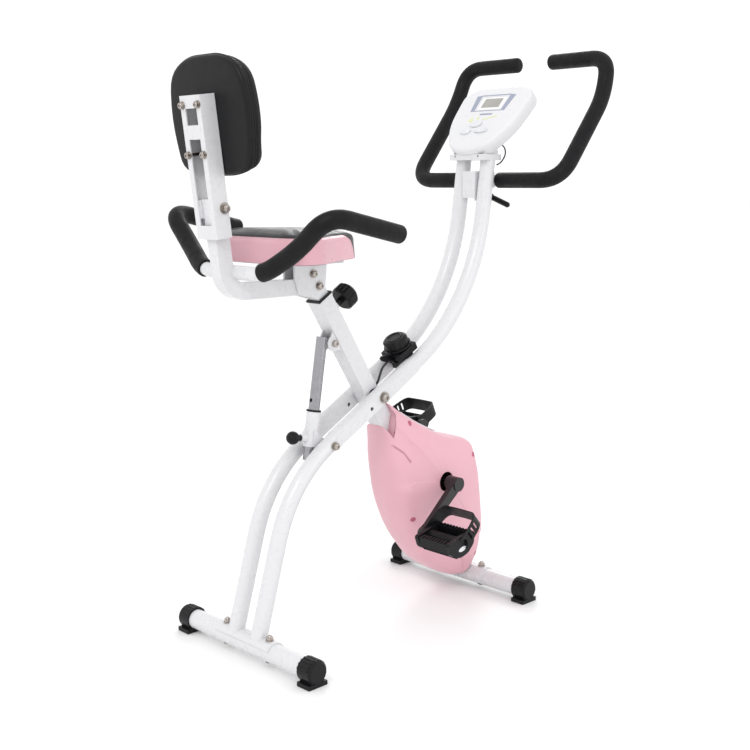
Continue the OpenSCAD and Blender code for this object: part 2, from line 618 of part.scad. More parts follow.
// A foam grip over the end of a bar: the skin path runs past the bar's end and closes over it
module foam(path, bar) difference() {
    last = len(path) - 1;
    sweep(concat(path, [path[last] + 4 * unit(path[last] - path[last - 1])]), foam_d / 2, bar_sides);
    sweep(concat(bar, [bar[len(bar) - 1] + e * unit(path[last] - path[last - 1])]),
        bar_d / 2 / cos(180 / bar_sides) + 0.1, bar_sides);
}
side_foam_from = 3;
module side_grips() color("#222222") placed() both_sides()
    foam([for (i = [side_foam_from : len(side_half) - 1]) side_half[i]], side_half);

// ---------- backrest ----------
bracket_half = 28.5;
bracket_deep = 32;
bracket_low = -188;
bracket_high = 58;
window_half = 16;
module back_bracket() color("white") on_back() difference() {
    union() {
        block([0, -bracket_half, bracket_low], [2.5, bracket_half, bracket_high]);
        both_sides() block([0, bracket_half - 2.5, bracket_low], [bracket_deep, bracket_half, bracket_high]);
        both_sides() block([2, l_bar_w / 2 + run_gap, slot_up - 16], [bracket_deep, bracket_half - 2, slot_up + 16]);
        block([2, -bracket_half + 2, -6], [bracket_deep, bracket_half - 2, -3]);
    }
    block([-1, -window_half, bracket_low + 24], [5, window_half, -16]);
    block([-1, -window_half, 8], [5, window_half, bracket_high - 22]);
    translate([upright_mid, 0, slot_up]) across(8.1, -40, 40);
    for (z = bolt_rows) for (y = [-22, 22]) translate([-1, y, z]) rotate([0, 90, 0]) cylinder(d = 6.2, h = 10);
}
bolt_rows = [-42, 42];
back_mid = [20, 0];
back_corners = [
    [-81, 52, 22, 9, 10], [-70, 98, 24, 9, 10], [20, 114, 44, 9, 10], [96, 100, 28, 9, 10],
    [122, 50, 27, 9, 10], [122, -50, 27, 9, 10], [96, -100, 28, 9, 10], [20, -114, 44, 9, 10],
    [-70, -98, 24, 9, 10], [-81, -52, 22, 9, 10]];
shell_x = bracket_deep + 12;    // rim of the backrest shell ahead of the bracket's rear face
// Turns a shape drawn in the XY plane so that its X points up the backrest and its height forward
module facing_forward() rotate([0, -90, 0]) mirror([0, 0, 1]) children();
function raised(c, edge, high) = [for (q = c) [q[0], q[1], q[2], edge, high]];
module back_shell() color("#1a1a1a") on_back() difference() {
    translate([shell_x, 0, 0]) rotate([0, -90, 0]) domed_shell(flipped(back_corners), back_mid, 11.5, 2.5);
    for (z = bolt_rows) for (y = [-22, 22]) translate([0, y, z]) rotate([0, 90, 0]) cylinder(d = 6.9, h = 60, $fn = 8);
}
module back_cushion() color("#222222") on_back() translate([shell_x + 0.3, 0, 0])
    facing_forward() dome(flipped(raised(back_corners, 22, 30)), back_mid, 38);
module back_bolts() color("silver") on_back() {
    for (z = bolt_rows) for (y = [-22, 22]) translate([0, y, z]) rotate([0, -90, 0]) {
        translate([0, 0, -shell_x + 7]) cylinder(d = 6, h = shell_x - 6);
        translate([0, 0, e]) cylinder(d = 14, h = 1.5);
        translate([0, 0, 1.5]) cylinder(d = 11, h = 4);
    }
    translate([upright_mid, 0, slot_up]) {
        across(8, -bracket_half - 2, bracket_half + 2);
        across(20, -bracket_half - 2, -bracket_half - e);
        across(13, -bracket_half - 8, -bracket_half - 1.9);
        across(18, bracket_half + e, bracket_half + 2);
        across(13, bracket_half + 1.9, bracket_half + 8);
    }
}

// ---------- twin-tube frame ----------
low_end = [low_start + low_r * cos(90 + low_turn), -low_r + low_r * sin(90 + low_turn)];
top_end = [top_start + top_r * cos(top_turn - 90), top_r + top_r * sin(top_turn - 90)];
top_lean = twin_rise + top_turn;
function twin_point(p) = pivot + p[0] * twin_fwd + p[1] * twin_top;
top_run = (twin_top_z - twin_point(top_end)[1]) / sin(top_lean) + 12;
low_run = 198;
module twin_bends(d) {
    translate([low_start, 0, -low_r]) arc_xz(low_r, 90, 90 + low_turn) circle(d = d);
    translate(rad(low_end)) rotate([0, 90 - (180 + low_turn), 0]) cylinder(d = d, h = low_run);
    translate([top_start, 0, top_r]) arc_xz(top_r, -90, top_turn - 90) circle(d = d);
    translate(rad(top_end)) rotate([0, 90 - top_turn, 0]) cylinder(d = d, h = top_run);
}
// The straight part: round at its ends, but pressed tall and narrow where it passes the main tube
module twin_middle() difference() {
    rotate([0, 90, 0]) {
        translate([0, 0, low_start]) cylinder(d1 = twin_d, d2 = press_h, h = blend);
        translate([0, 0, low_start + blend]) cylinder(d = press_h, h = top_start - low_start - 2 * blend);
        translate([0, 0, top_start - blend]) cylinder(d1 = press_h, d2 = twin_d, h = blend);
    }
    for (side = [-1, 1]) translate([0, 0, -40]) linear_extrude(80) polygon([
        [low_start - 2, side * (twin_d / 2 + 1)], [low_start + blend, side * press_w / 2],
        [top_start - blend, side * press_w / 2], [top_start + 2, side * (twin_d / 2 + 1)],
        [top_start + 2, side * 40], [low_start - 2, side * 40]]);
}
module twin_tube(side) difference() {
    on_twin() translate([0, side * twin_y, 0]) difference() {
        union() {
            twin_middle();
            twin_bends(twin_d);
        }
        twin_bends(twin_d - 2 * wall);
        translate([low_start - 1, 0, 0]) rotate([0, 90, 0])
            cylinder(d = press_w - 2 * wall, h = top_start - low_start + 2);
    }
    on_twin() across(pivot_bolt_d + 2 * e, -80, 80);
    on_twin() translate([-strut_r, 0, 0]) across(8.1, -80, 80);
    on_twin() translate([-38, 0, 0]) across(8, -80, 80);
    placed() translate([-rear_foot_x, 0, foot_z]) across(foot_d + 6 + 2 * e, -90, 90);
    placed() block([300, -80, twin_top_z - 14], [420, 80, twin_top_z + 60]);
}
module left_twin_tube() color("white") twin_tube(1);
module right_twin_tube() color("white") twin_tube(-1);
module pivot_bushes() color("#333333") on_main() both_sides() difference() {
    union() {
        across(20, 6, main_half);
        across(30, main_half, twin_y - press_w / 2 - 0.2);
    }
    across(pivot_bolt_d + 0.1, 0, 60);
}
module twin_frame_bolts() color("silver") {
    for (s = [-1, 1]) foot_bolt(-rear_foot_x, s);
    outer = twin_y + press_w / 2;
    on_twin() {
        across(pivot_bolt_d, -outer - 3, outer + 3);
        both_sides() across(24, outer + e, outer + 2.2);
        both_sides() across(18, outer + 2.1, outer + 6);
    }
    on_twin() translate([-strut_r, 0, 0]) {
        across(8, -outer - 6, outer + 6);
        both_sides() across(18, outer + 3 + e, outer + 5);
        both_sides() across(13, outer + 4.9, outer + 10);
    }
}
bar_x = 389;
bar_z = 892;
lever_z = 856;
lever_x = 414;
lever_turn = 20;                // its right end hangs lower
module bar_clamp() color("white") placed() difference() {
    union() {
        block([338, -17.4, 854], [374, 17.4, 911]);
        translate([bar_x, 0, bar_z]) across(33.5, -24, 24);
        block([372, -12, 848], [392, 12, bar_z]);
    }
    translate([bar_x, 0, bar_z]) across(bar_d + 0.1, -40, 40);
    block([384, -13, 840], [386, 13, bar_z]);
    translate([370, 0, lever_z]) rotate([0, 90, 0]) cylinder(d = 8.2, h = 40);
}
module clamp_lever() color("black") placed() translate([0, 0, lever_z]) {
    translate([374, 0, 0]) rotate([0, 90, 0]) cylinder(d = 8, h = lever_x - 374);
    translate([392 + run_gap, 0, 0]) rotate([0, 90, 0]) cylinder(d = 16, h = lever_x - 392);
    translate([lever_x, 0, 0]) rotate([lever_turn, 0, 0]) {
        across(12, -48, 48);
        both_sides() translate([0, 48, 0]) sphere(d = 12);
    }
}
bar_half = rounded([[bar_x, 0, bar_z], [bar_x, 204, bar_z], [529, 206, 1066], [556, 196, 1149], [558, 46, 1149]],
    [54, 40, 42], 7);
bar_path = concat(flipped(mirrored(bar_half)), [for (i = [1 : len(bar_half) - 1]) bar_half[i]]);
module handlebar() color("white") placed() pipe(bar_path, bar_d / 2, wall, bar_sides);
foam_start = 40;
module bar_grips() color("#222222") placed() both_sides()
    foam(concat([[bar_x, foam_start, bar_z]], [for (i = [1 : len(bar_half) - 1]) bar_half[i]]), bar_half);
// Tension knob and its base on top of the twin tubes
knob_t = 122;
knob_n = 40;
module knob_base() color("#222222") on_twin() difference() {
    union() {
        block([94, -28, 18.7], [144, 28, 34]);
        translate([119, 0, 30]) cylinder(d1 = 54, d2 = 44, h = 7);
        block([100, -17.2, -8], [136, 17.2, 19]);
        slab_xz(-1.5, 1.5) polygon([[94, 19], [94, 32], [70, 46], [64, 44], [66, 36], [84, 19]]);
    }
    translate([knob_t - 3, 0, -20]) cylinder(d = 8.2, h = 100);
}
module tension_knob() color("black") on_twin() translate([knob_t - 3, 0, 0]) {
    translate([0, 0, -12]) cylinder(d = 8, h = 54);
    difference() {
        translate([0, 0, 37 + run_gap]) union() {
            cylinder(d = 58, h = 3);
            translate([0, 0, 3]) cylinder(d = 52, h = 14);
            translate([0, 0, 17]) cylinder(d1 = 52, d2 = 42, h = 4);
            rotate_extrude() translate([15, 21]) circle(d = 3);
        }
        for (a = [0 : 30 : 330]) rotate(a) translate([28.5, 0, 40.6]) cylinder(d = 7, h = 60);
    }
}
// Console
bracket_x = 329;
module console_bracket() color("white") placed() difference() {
    union() {
        block([bracket_x, -48, twin_top_z - 14 + e], [bracket_x + 58, 48, twin_top_z - 11]);
        block([bracket_x, -48, twin_top_z - 14 + e], [bracket_x + 2.5, 48, twin_top_z - 1.5]);
        both_sides() block([bracket_x, 45.5, twin_top_z - 14 + e], [bracket_x + 58, 48, twin_top_z - 1.5]);
    }
    for (y = [-32, 32]) translate([bracket_x - 1, y, twin_top_z - 6]) rotate([0, 90, 0]) cylinder(d = 4.4, h = 5);
    translate([bracket_x + 26, 0, twin_top_z - 20]) cylinder(d = 16, h = 20);
}
// Face frame: X up the slope, Y left, Z out of the face, origin at the middle of the display
module on_face() placed() translate([411, 0, 1057]) rotate([0, -console_tilt, 0]) children();
pod_mid = [-30, 0];
pod_corners = [
    [52, 66, 18, 8, 14], [30, 97, 18, 8, 14], [-62, 88, 34, 8, 14], [-139, 46, 40, 8, 14],
    [-139, -46, 40, 8, 14], [-62, -88, 34, 8, 14], [30, -97, 18, 8, 14], [52, -66, 18, 8, 14]];
face_z = -15;                   // joint between the two halves, below the face
button_at = [[-63, 8, 17, 10], [-85, 24, 14, 8], [-83, -17, 18, 7]];
function oval(b, extra) = [for (a = [0 : 15 : 345]) [b[0] + (b[3] + extra) * cos(a), b[1] + (b[2] + extra) * sin(a)]];
module console_front() color("white") on_face() difference() {
    translate([0, 0, face_z]) domed_shell(pod_corners, pod_mid, 15, 2.5);
    block([-19, -34, -20], [19, 34, 20]);
    for (b = button_at) translate([0, 0, -18]) linear_extrude(40) polygon(oval(b, run_gap));
}
module console_back() color("white") {
    difference() {
        on_face() translate([0, 0, face_z - e]) mirror([0, 0, 1])
            domed_shell(raised(pod_corners, 18, 22), pod_mid, 27, 2.5);
        placed() block([bracket_x - 10, -48.3, twin_top_z - 30], [bracket_x + 58.3, 48.3, twin_top_z - 1.2]);
    }
    placed() block([bracket_x + 9, -44, twin_top_z - 10.9], [bracket_x + 52, 44, twin_top_z + 8]);
}
module console_lens() color("#556655") on_face() {
    block([-18.7, -33.7, -3], [18.7, 33.7, -0.8]);
}
module face_button(b) on_face() translate([0, 0, -6]) linear_extrude(8.4) polygon(oval(b, 0));
module mode_button() color("#cccccc") face_button(button_at[0]);
module set_button() color("#cccccc") face_button(button_at[1]);
module reset_button() color("#cccccc") face_button(button_at[2]);

// ---------- strut ----------
module strut_sleeve() color("white") on_strut() difference() {
    union() {
        translate([-strut_set, 0, -8]) cylinder(d = sleeve_d, h = 8 + sleeve_top);
        both_sides() slab_xz(13.5, 16) {
            circle(r = 11);
            polygon([[-3, 10.6], [-strut_set - 6, 26], [-strut_set - 6, -6], [-3, -10.6]]);
        }
        translate([-strut_set - 10, 0, pin_at]) rotate([0, -90, 0]) cylinder(d = 15, h = 17);
    }
    translate([-strut_set, 0, -20]) cylinder(d = rod_d + 0.6, h = 100);
    across(8.1, -30, 30);
    translate([-strut_set, 0, pin_at]) rotate([0, -90, 0]) cylinder(d = 7.2, h = 40);
}
module strut_rod() color("silver") on_strut() difference() {
    union() {
        translate([-strut_set, 0, -35]) cylinder(d = rod_d, h = strut_len + 45);
        slab_xz(-12, 12) {
            translate([0, strut_len]) circle(r = 8.7);
            polygon([[0, strut_len + 8.7], [-strut_set, strut_len + 8.7], [-strut_set, strut_len - 8.7],
                [0, strut_len - 8.7]]);
        }
    }
    translate([0, 0, strut_len]) across(8.1, -30, 30);
    for (z = [pin_at, pin_at + 74]) translate([-strut_set, 0, z]) rotate([0, -90, 0]) cylinder(d = 7.6, h = 40);
}
module strut_pin() color("black") on_strut() translate([-strut_set, 0, pin_at]) rotate([0, -90, 0]) {
    translate([0, 0, rod_d / 2 + run_gap]) cylinder(d = 7, h = 30);
    translate([0, 0, 27.3]) cylinder(d = 12, h = 8);
    translate([0, 0, 46]) sphere(d = 26);
}

// ---------- cables ----------
// Brake cable: from the tension knob's base down into the slot of the main tube
brake_route = [[100, 0, 8], [84, 0, 26], [60, 0, 24], [36, 0, 6], [16, 0, -2], [10, 0, -4]];
module brake_cable() color("#1a1a1a") on_twin()
    sweep(rounded(brake_route, [9, 9, 9, 7], 4), 2.5, 10);
// Sensor lead: from the console down beside the bracket and into the twin frame
console_route = [[372, -44, 972], [392, -52, 964], [396, -54, 948], [384, -52, 930], [372, -49, 924]];
module console_cable() color("#222222") placed()
    sweep(rounded(console_route, [9, 9, 8], 4), 1.6, 8);

main_tube();
seat_collar();
crank_shell();
crank_bearings();
flywheel_axle();
front_saddle();
front_stabilizer();
front_caps();
main_frame_bolts();
right_housing();
left_housing();
housing_trim();
drive_belt();
pivot_bushes();
seat_pin();
seat_post();
seat_pan();
seat_pad();
back_frame();
seat_bolts();
side_bar();
side_grips();
back_bracket();
back_shell();
back_cushion();
back_bolts();
crank_axle();
right_crank();
left_crank();
drive_pulley();
right_pedal();
left_pedal();
right_strap();
left_strap();
flywheel();
magnet_arm();
right_twin_tube();
left_twin_tube();
rear_saddle();
rear_stabilizer();
rear_caps();
twin_frame_bolts();
bar_clamp();
knob_base();
console_bracket();
console_back();
console_front();
console_lens();
handlebar();
bar_grips();
clamp_lever();
tension_knob();
strut_sleeve();
strut_rod();
strut_pin();
mode_button();
set_button();
reset_button();
console_cable();
brake_cable();
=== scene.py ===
"""Looks for the folding exercise bike: materials, cushions, foam grips, straps and small trim."""
import math

import bmesh
import bpy
from mathutils import Matrix, Vector


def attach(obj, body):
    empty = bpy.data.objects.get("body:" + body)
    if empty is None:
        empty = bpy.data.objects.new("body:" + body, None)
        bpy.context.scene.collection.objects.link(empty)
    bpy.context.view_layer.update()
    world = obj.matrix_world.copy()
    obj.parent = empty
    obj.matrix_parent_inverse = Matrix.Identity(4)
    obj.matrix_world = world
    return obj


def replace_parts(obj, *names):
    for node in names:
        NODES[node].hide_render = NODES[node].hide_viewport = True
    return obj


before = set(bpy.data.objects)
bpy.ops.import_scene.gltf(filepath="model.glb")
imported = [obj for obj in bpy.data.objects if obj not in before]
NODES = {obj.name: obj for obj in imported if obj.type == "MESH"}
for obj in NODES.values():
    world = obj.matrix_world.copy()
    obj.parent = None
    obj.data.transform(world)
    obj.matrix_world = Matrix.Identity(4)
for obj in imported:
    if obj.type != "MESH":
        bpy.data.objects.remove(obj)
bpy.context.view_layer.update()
MM = 0.001
ORIGIN_X = 93.4  # the row's origin lies this far ahead of the middle of the feet, in mm


def at(x, y, z):
    """A point given in mm from the floor below the middle of the feet, in the row frame in metres."""
    return Vector(((x - ORIGIN_X) * MM, y * MM, z * MM))


def frame_at(x, z, lean):
    """A tilted frame in the side view: origin at (x, z), leaning back by `lean` degrees."""
    c, s = math.cos(math.radians(lean)), math.sin(math.radians(lean))

    def place(forward, y, up):
        return at(x + forward * c - up * s, y, z + forward * s + up * c)
    return place


PIVOT_X, PIVOT_Z = 36.7, 463.7
MAIN_LEAN, TWIN_RISE = 32.1, 29.5
STRUT_UP, STRUT_BACK = 154, -27
on_main = frame_at(PIVOT_X, PIVOT_Z, MAIN_LEAN)
on_twin = frame_at(PIVOT_X, PIVOT_Z, TWIN_RISE)
on_back = frame_at(-376, 975, 7.5)
on_face = frame_at(411, 1057, 47)
strut_high = on_main(STRUT_BACK, 0, STRUT_UP)
strut_low = on_twin(-math.hypot(STRUT_UP, STRUT_BACK), 0, 0)
strut_run = (strut_high - strut_low).normalized()
strut_lean = -math.degrees(math.atan2(strut_run.x, strut_run.z))
on_strut = frame_at(strut_low.x / MM + ORIGIN_X, strut_low.z / MM, strut_lean)


# ---------------------------------------------------------------- camera and light
FOCAL_MM = 55.2
CAMERA_AT = (-1555, -1646, 887)
CAMERA_AZIMUTH = math.radians(-44.4)
CAMERA_ELEVATION = math.radians(9.5)
cam_data = bpy.data.cameras.new("camera")
cam_data.lens = FOCAL_MM
cam_data.sensor_width = 36.0
camera = bpy.data.objects.new("camera", cam_data)
bpy.context.collection.objects.link(camera)
camera.location = at(*CAMERA_AT)
look = Vector((-math.sin(CAMERA_AZIMUTH) * math.cos(CAMERA_ELEVATION),
               math.cos(CAMERA_AZIMUTH) * math.cos(CAMERA_ELEVATION),
               -math.sin(CAMERA_ELEVATION)))
camera.rotation_euler = look.to_track_quat("-Z", "Y").to_euler()
bpy.context.scene.camera = camera


def area_light(name, place, target, size, power, tint=(1, 1, 1)):
    data = bpy.data.lights.new(name, "AREA")
    data.shape = "RECTANGLE"
    data.size, data.size_y = size
    data.energy = power
    data.color = tint
    light = bpy.data.objects.new(name, data)
    bpy.context.collection.objects.link(light)
    light.location = place
    light.rotation_euler = (Vector(target) - Vector(place)).to_track_quat("-Z", "Y").to_euler()
    return light


world = bpy.data.worlds.new("studio")
world.use_nodes = True
bpy.context.scene.world = world
bpy.context.scene.view_settings.view_transform = "Standard"
# white above the horizon, darker below it, so that rounded parts show their undersides
sky = world.node_tree
upward = sky.nodes.new("ShaderNodeSeparateXYZ")
shade = sky.nodes.new("ShaderNodeMapRange")
shade.inputs["From Min"].default_value = -0.5
shade.inputs["From Max"].default_value = 0.0
shade.inputs["To Min"].default_value = 0.35
shade.inputs["To Max"].default_value = 1.14
sky.links.new(sky.nodes.new("ShaderNodeTexCoord").outputs["Generated"], upward.inputs[0])
sky.links.new(upward.outputs["Z"], shade.inputs["Value"])
sky.links.new(shade.outputs["Result"], sky.nodes["Background"].inputs["Strength"])
sky.nodes["Background"].inputs["Color"].default_value = (1.0, 1.0, 1.0, 1)
MIDDLE = (0, 0, 0.6)
area_light("key", (-2.6, -1.2, 2.8), MIDDLE, (1.2, 1.2), 26)
area_light("fill", (0.6, -3.2, 1.6), MIDDLE, (0.8, 2.2), 10)
area_light("rim", (2.4, 2.2, 2.4), MIDDLE, (1.2, 1.0), 18)


# ---------------------------------------------------------------- materials
def new_material(name, color, rough, metallic=0.0, **sockets):
    m = bpy.data.materials.new(name)
    m.use_nodes = True
    shader = m.node_tree.nodes["Principled BSDF"]
    shader.inputs["Base Color"].default_value = (*color, 1)
    shader.inputs["Roughness"].default_value = rough
    shader.inputs["Metallic"].default_value = metallic
    for key, value in sockets.items():
        shader.inputs[key.replace("_", " ")].default_value = value
    return m


def add(m, kind, **settings):
    n = m.node_tree.nodes.new(kind)
    for key, value in settings.items():
        if key in n.inputs:
            n.inputs[key].default_value = value
        else:
            setattr(n, key, value)
    return n


def join(m, a, b):
    m.node_tree.links.new(a, b)


def math_node(m, op, a, b=None, clamp=False):
    n = add(m, "ShaderNodeMath", operation=op, use_clamp=clamp)
    for i, value in enumerate((a, b)):
        if value is None:
            continue
        if isinstance(value, (int, float)):
            n.inputs[i].default_value = value
        else:
            join(m, value, n.inputs[i])
    return n.outputs[0]


def coordinates(m):
    return add(m, "ShaderNodeTexCoord").outputs["Object"]


def noise(m, scale, detail=4.0, roughness=0.5):
    n = add(m, "ShaderNodeTexNoise", Scale=scale, Detail=detail, Roughness=roughness)
    join(m, coordinates(m), n.inputs["Vector"])
    return n.outputs["Fac"]


def ramp(m, fac, low, high, a=0.0, b=1.0):
    n = add(m, "ShaderNodeMapRange")
    n.inputs["From Min"].default_value = low
    n.inputs["From Max"].default_value = high
    n.inputs["To Min"].default_value = a
    n.inputs["To Max"].default_value = b
    join(m, fac, n.inputs["Value"])
    return n.outputs["Result"]


def shader_of(m):
    return m.node_tree.nodes["Principled BSDF"]


def vary(m, color, dark, scale, amount=0.5):
    """Cloudy variation of the base colour between color and dark."""
    mix = add(m, "ShaderNodeMix", data_type="RGBA")
    mix.inputs[6].default_value = (*color, 1)
    mix.inputs[7].default_value = (*dark, 1)
    join(m, ramp(m, noise(m, scale), 0.35, 0.75, 0.0, amount), mix.inputs[0])
    join(m, mix.outputs[2], shader_of(m).inputs["Base Color"])
    return mix


def vary_roughness(m, low, high, scale):
    join(m, ramp(m, noise(m, scale, 6.0), 0.3, 0.7, low, high), shader_of(m).inputs["Roughness"])


def bump(m, height, strength, distance):
    n = add(m, "ShaderNodeBump")
    n.inputs["Strength"].default_value = strength
    n.inputs["Distance"].default_value = distance
    join(m, height, n.inputs["Height"])
    old = shader_of(m).inputs["Normal"].links
    if old:
        join(m, old[0].from_socket, n.inputs["Normal"])
    join(m, n.outputs["Normal"], shader_of(m).inputs["Normal"])
    return n


def worn_edges(m, mix, worn):
    """A little of another colour on sharp edges, from the geometry's pointiness."""
    geo = add(m, "ShaderNodeNewGeometry")
    edge = ramp(m, geo.outputs["Pointiness"], 0.60, 0.72, 0.0, 0.6)
    scuffed = math_node(m, "MULTIPLY", edge, ramp(m, noise(m, 90.0), 0.5, 0.7))
    over = add(m, "ShaderNodeMix", data_type="RGBA")
    over.inputs[7].default_value = (*worn, 1)
    join(m, scuffed, over.inputs[0])
    join(m, mix.outputs[2], over.inputs[6])
    join(m, over.outputs[2], shader_of(m).inputs["Base Color"])


def powder_coat():
    m = new_material("white_powder_coat", (0.85, 0.85, 0.86), 0.3, Coat_Weight=0.25, Coat_Roughness=0.12)
    vary(m, (0.66, 0.66, 0.675), (0.64, 0.64, 0.66), 14.0, 0.3)
    vary_roughness(m, 0.22, 0.38, 60.0)
    bump(m, noise(m, 900.0, 2.0), 0.12, 0.0004)
    return m


def moulded(name, color, dark, rough, grain=1400.0, strength=0.25, specular=0.5):
    m = new_material(name, color, rough, Specular_IOR_Level=specular)
    mix = vary(m, color, dark, 22.0, 0.3)
    worn_edges(m, mix, tuple(min(1.0, c * 1.8 + 0.02) for c in color))
    vary_roughness(m, rough - 0.07, rough + 0.09, 70.0)
    bump(m, noise(m, grain, 3.0), strength, 0.0003)
    return m


def metal(name, color, rough, streak=220.0):
    m = new_material(name, color, rough, metallic=1.0)
    vary(m, color, tuple(c * 0.72 for c in color), 45.0, 0.6)
    vary_roughness(m, rough * 0.7, rough * 1.5, 120.0)
    bump(m, noise(m, streak * 6, 2.0), 0.08, 0.0002)
    return m


def vinyl(name, color, dark, rough=0.42, specular=0.5):
    m = new_material(name, color, rough, Specular_IOR_Level=specular)
    vary(m, color, dark, 18.0, 0.3)
    vary_roughness(m, rough - 0.08, rough + 0.1, 35.0)
    cells = add(m, "ShaderNodeTexVoronoi", Scale=520.0, feature="DISTANCE_TO_EDGE")
    join(m, coordinates(m), cells.inputs["Vector"])
    bump(m, ramp(m, cells.outputs["Distance"], 0.0, 0.12), 0.22, 0.0004)
    bump(m, noise(m, 38.0, 3.0), 0.12, 0.002)
    return m


def foam_rubber():
    m = new_material("black_foam", (0.007, 0.007, 0.008), 0.5, Specular_IOR_Level=0.16)
    vary(m, (0.006, 0.006, 0.007), (0.011, 0.011, 0.012), 60.0, 0.6)
    vary_roughness(m, 0.42, 0.62, 90.0)
    bump(m, noise(m, 1600.0, 4.0, 0.7), 0.35, 0.0005)
    bump(m, noise(m, 30.0, 2.0), 0.1, 0.0015)
    return m


WHITE = powder_coat()
PINK = moulded("pink_plastic", (0.72, 0.40, 0.46), (0.68, 0.36, 0.43), 0.36, 700.0, 0.1)
# darker pink painted as the shade along the housing groove
PINK_SHADE = moulded("pink_shade", (0.50, 0.22, 0.27), (0.46, 0.2, 0.25), 0.4)
# dark pink painted as the shade inside the housing's screw recesses
PINK_RECESS_SHADE = moulded("pink_recess_shade", (0.45, 0.10, 0.17), (0.3, 0.05, 0.1), 0.5)
BLACK = moulded("black_plastic", (0.006, 0.006, 0.007), (0.010, 0.010, 0.011), 0.36, specular=0.2)
PALE = moulded("pale_grey_plastic", (0.66, 0.67, 0.70), (0.58, 0.59, 0.63), 0.38)
POD = moulded("white_console_plastic", (0.70, 0.70, 0.715), (0.67, 0.67, 0.69), 0.34, 1100.0, 0.12)
GLOSS_BLACK = moulded("gloss_black_enamel", (0.008, 0.008, 0.009), (0.016, 0.016, 0.018), 0.17, 300.0, 0.04)
CHROME = metal("zinc_plate", (0.44, 0.40, 0.37), 0.2)
STEEL = metal("strut_steel", (0.36, 0.36, 0.38), 0.24)
IRON = metal("cast_iron", (0.25, 0.25, 0.26), 0.5)
FOAM = foam_rubber()
STRAP = moulded("strap_rubber", (0.006, 0.006, 0.007), (0.010, 0.010, 0.011), 0.42, 900.0, 0.2, 0.2)
CABLE = moulded("cable_sheath", (0.015, 0.015, 0.016), (0.03, 0.03, 0.03), 0.38)
BLACK_VINYL = vinyl("black_vinyl", (0.007, 0.007, 0.008), (0.012, 0.012, 0.013), 0.42, 0.2)


def display_material():
    m = new_material("display_glass", (0.30, 0.29, 0.27), 0.22, Coat_Weight=0.5)
    vary(m, (0.33, 0.32, 0.29), (0.24, 0.24, 0.22), 20.0, 0.5)
    vary_roughness(m, 0.12, 0.25, 60.0)
    bump(m, noise(m, 500.0, 1.0), 0.05, 0.0002)
    return m


DISPLAY = display_material()
FINISH = {
    WHITE: ["main_tube", "crank_shell", "front_saddle", "front_stabilizer", "rear_saddle",
            "rear_stabilizer", "right_twin_tube", "left_twin_tube", "seat_post", "back_frame", "side_bar",
            "back_bracket", "bar_clamp", "console_bracket", "handlebar", "strut_sleeve"],
    BLACK: ["seat_collar", "front_caps", "rear_caps", "pivot_bushes", "seat_pin", "seat_pan", "back_shell",
            "drive_pulley", "right_pedal", "left_pedal", "knob_base", "tension_knob", "clamp_lever",
            "strut_pin"],
    PINK: ["right_housing", "left_housing"],
    PALE: ["housing_trim", "mode_button", "set_button", "reset_button"],
    POD: ["console_back", "console_front"],
    DISPLAY: ["console_lens"],
    CHROME: ["main_frame_bolts", "seat_bolts", "back_bolts", "twin_frame_bolts", "crank_axle",
             "crank_bearings", "flywheel_axle"],
    STEEL: ["strut_rod"],
    GLOSS_BLACK: ["right_crank", "left_crank"],
    IRON: ["flywheel", "magnet_arm"],
    STRAP: ["right_strap", "left_strap", "drive_belt"],
    CABLE: ["brake_cable", "console_cable"],
}
for material, names in FINISH.items():
    for name in names:
        mesh = NODES[name].data
        mesh.materials.clear()
        mesh.materials.append(material)


# ---------------------------------------------------------------- mesh helpers
def piece(name, verts, faces, material, body, smooth=True):
    mesh = bpy.data.meshes.new(name)
    mesh.from_pydata([tuple(v) for v in verts], [], [tuple(f) for f in faces])
    mesh.materials.append(material)
    bm = bmesh.new()
    bm.from_mesh(mesh)
    bmesh.ops.recalc_face_normals(bm, faces=bm.faces)
    bm.to_mesh(mesh)
    bm.free()
    for p in mesh.polygons:
        p.use_smooth = smooth
    obj = bpy.data.objects.new(name, mesh)
    bpy.context.collection.objects.link(obj)
    if body:
        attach(obj, body)
    return obj


def subdivide(obj, levels=1):
    s = obj.modifiers.new("subdivide", "SUBSURF")
    s.levels = s.render_levels = levels


def bezier(a, b, c, n):
    return [(1 - t) ** 2 * a + 2 * t * (1 - t) * b + t * t * c for t in (i / n for i in range(n + 1))]


def rounded(points, reach, n=10):
    """A polyline with its inner corners turned into curves that start `reach` from each."""
    out = [points[0]]
    for i in range(1, len(points) - 1):
        p, r = points[i], reach[i - 1]
        a = p + r * (points[i - 1] - p).normalized()
        c = p + r * (points[i + 1] - p).normalized()
        out += bezier(a, p, c, n)
    return out + [points[-1]]


def tube(points, radii, sides=28):
    """Vertices and faces of a round tube along points, with a radius for each, closed at its ends."""
    verts, faces = [], []
    tangents = [(points[min(i + 1, len(points) - 1)] - points[max(i - 1, 0)]).normalized()
                for i in range(len(points))]
    side = tangents[0].orthogonal().normalized()
    for p, t, r in zip(points, tangents, radii):
        side = (side - side.dot(t) * t).normalized()
        other = t.cross(side)
        angles = [2 * math.pi * k / sides for k in range(sides)]
        verts += [p + r * (math.cos(a) * side + math.sin(a) * other) for a in angles]
    for i in range(len(points) - 1):
        for k in range(sides):
            a, b = i * sides + k, i * sides + (k + 1) % sides
            faces.append((a, b, b + sides, a + sides))
    faces.append(tuple(range(sides))[::-1])
    faces.append(tuple(len(verts) - sides + k for k in range(sides)))
    return verts, faces


def loop(corners, steps):
    """Rounded closed outline. Each corner is (x, y, reach, edge, height)."""
    out = []
    n = len(corners)
    for i, c in enumerate(corners):
        p = Vector(c[:2])
        before, after = Vector(corners[i - 1][:2]), Vector(corners[(i + 1) % n][:2])
        a, b = p + c[2] * (before - p).normalized(), p + c[2] * (after - p).normalized()
        out += bezier(a, p, b, steps)
    return out


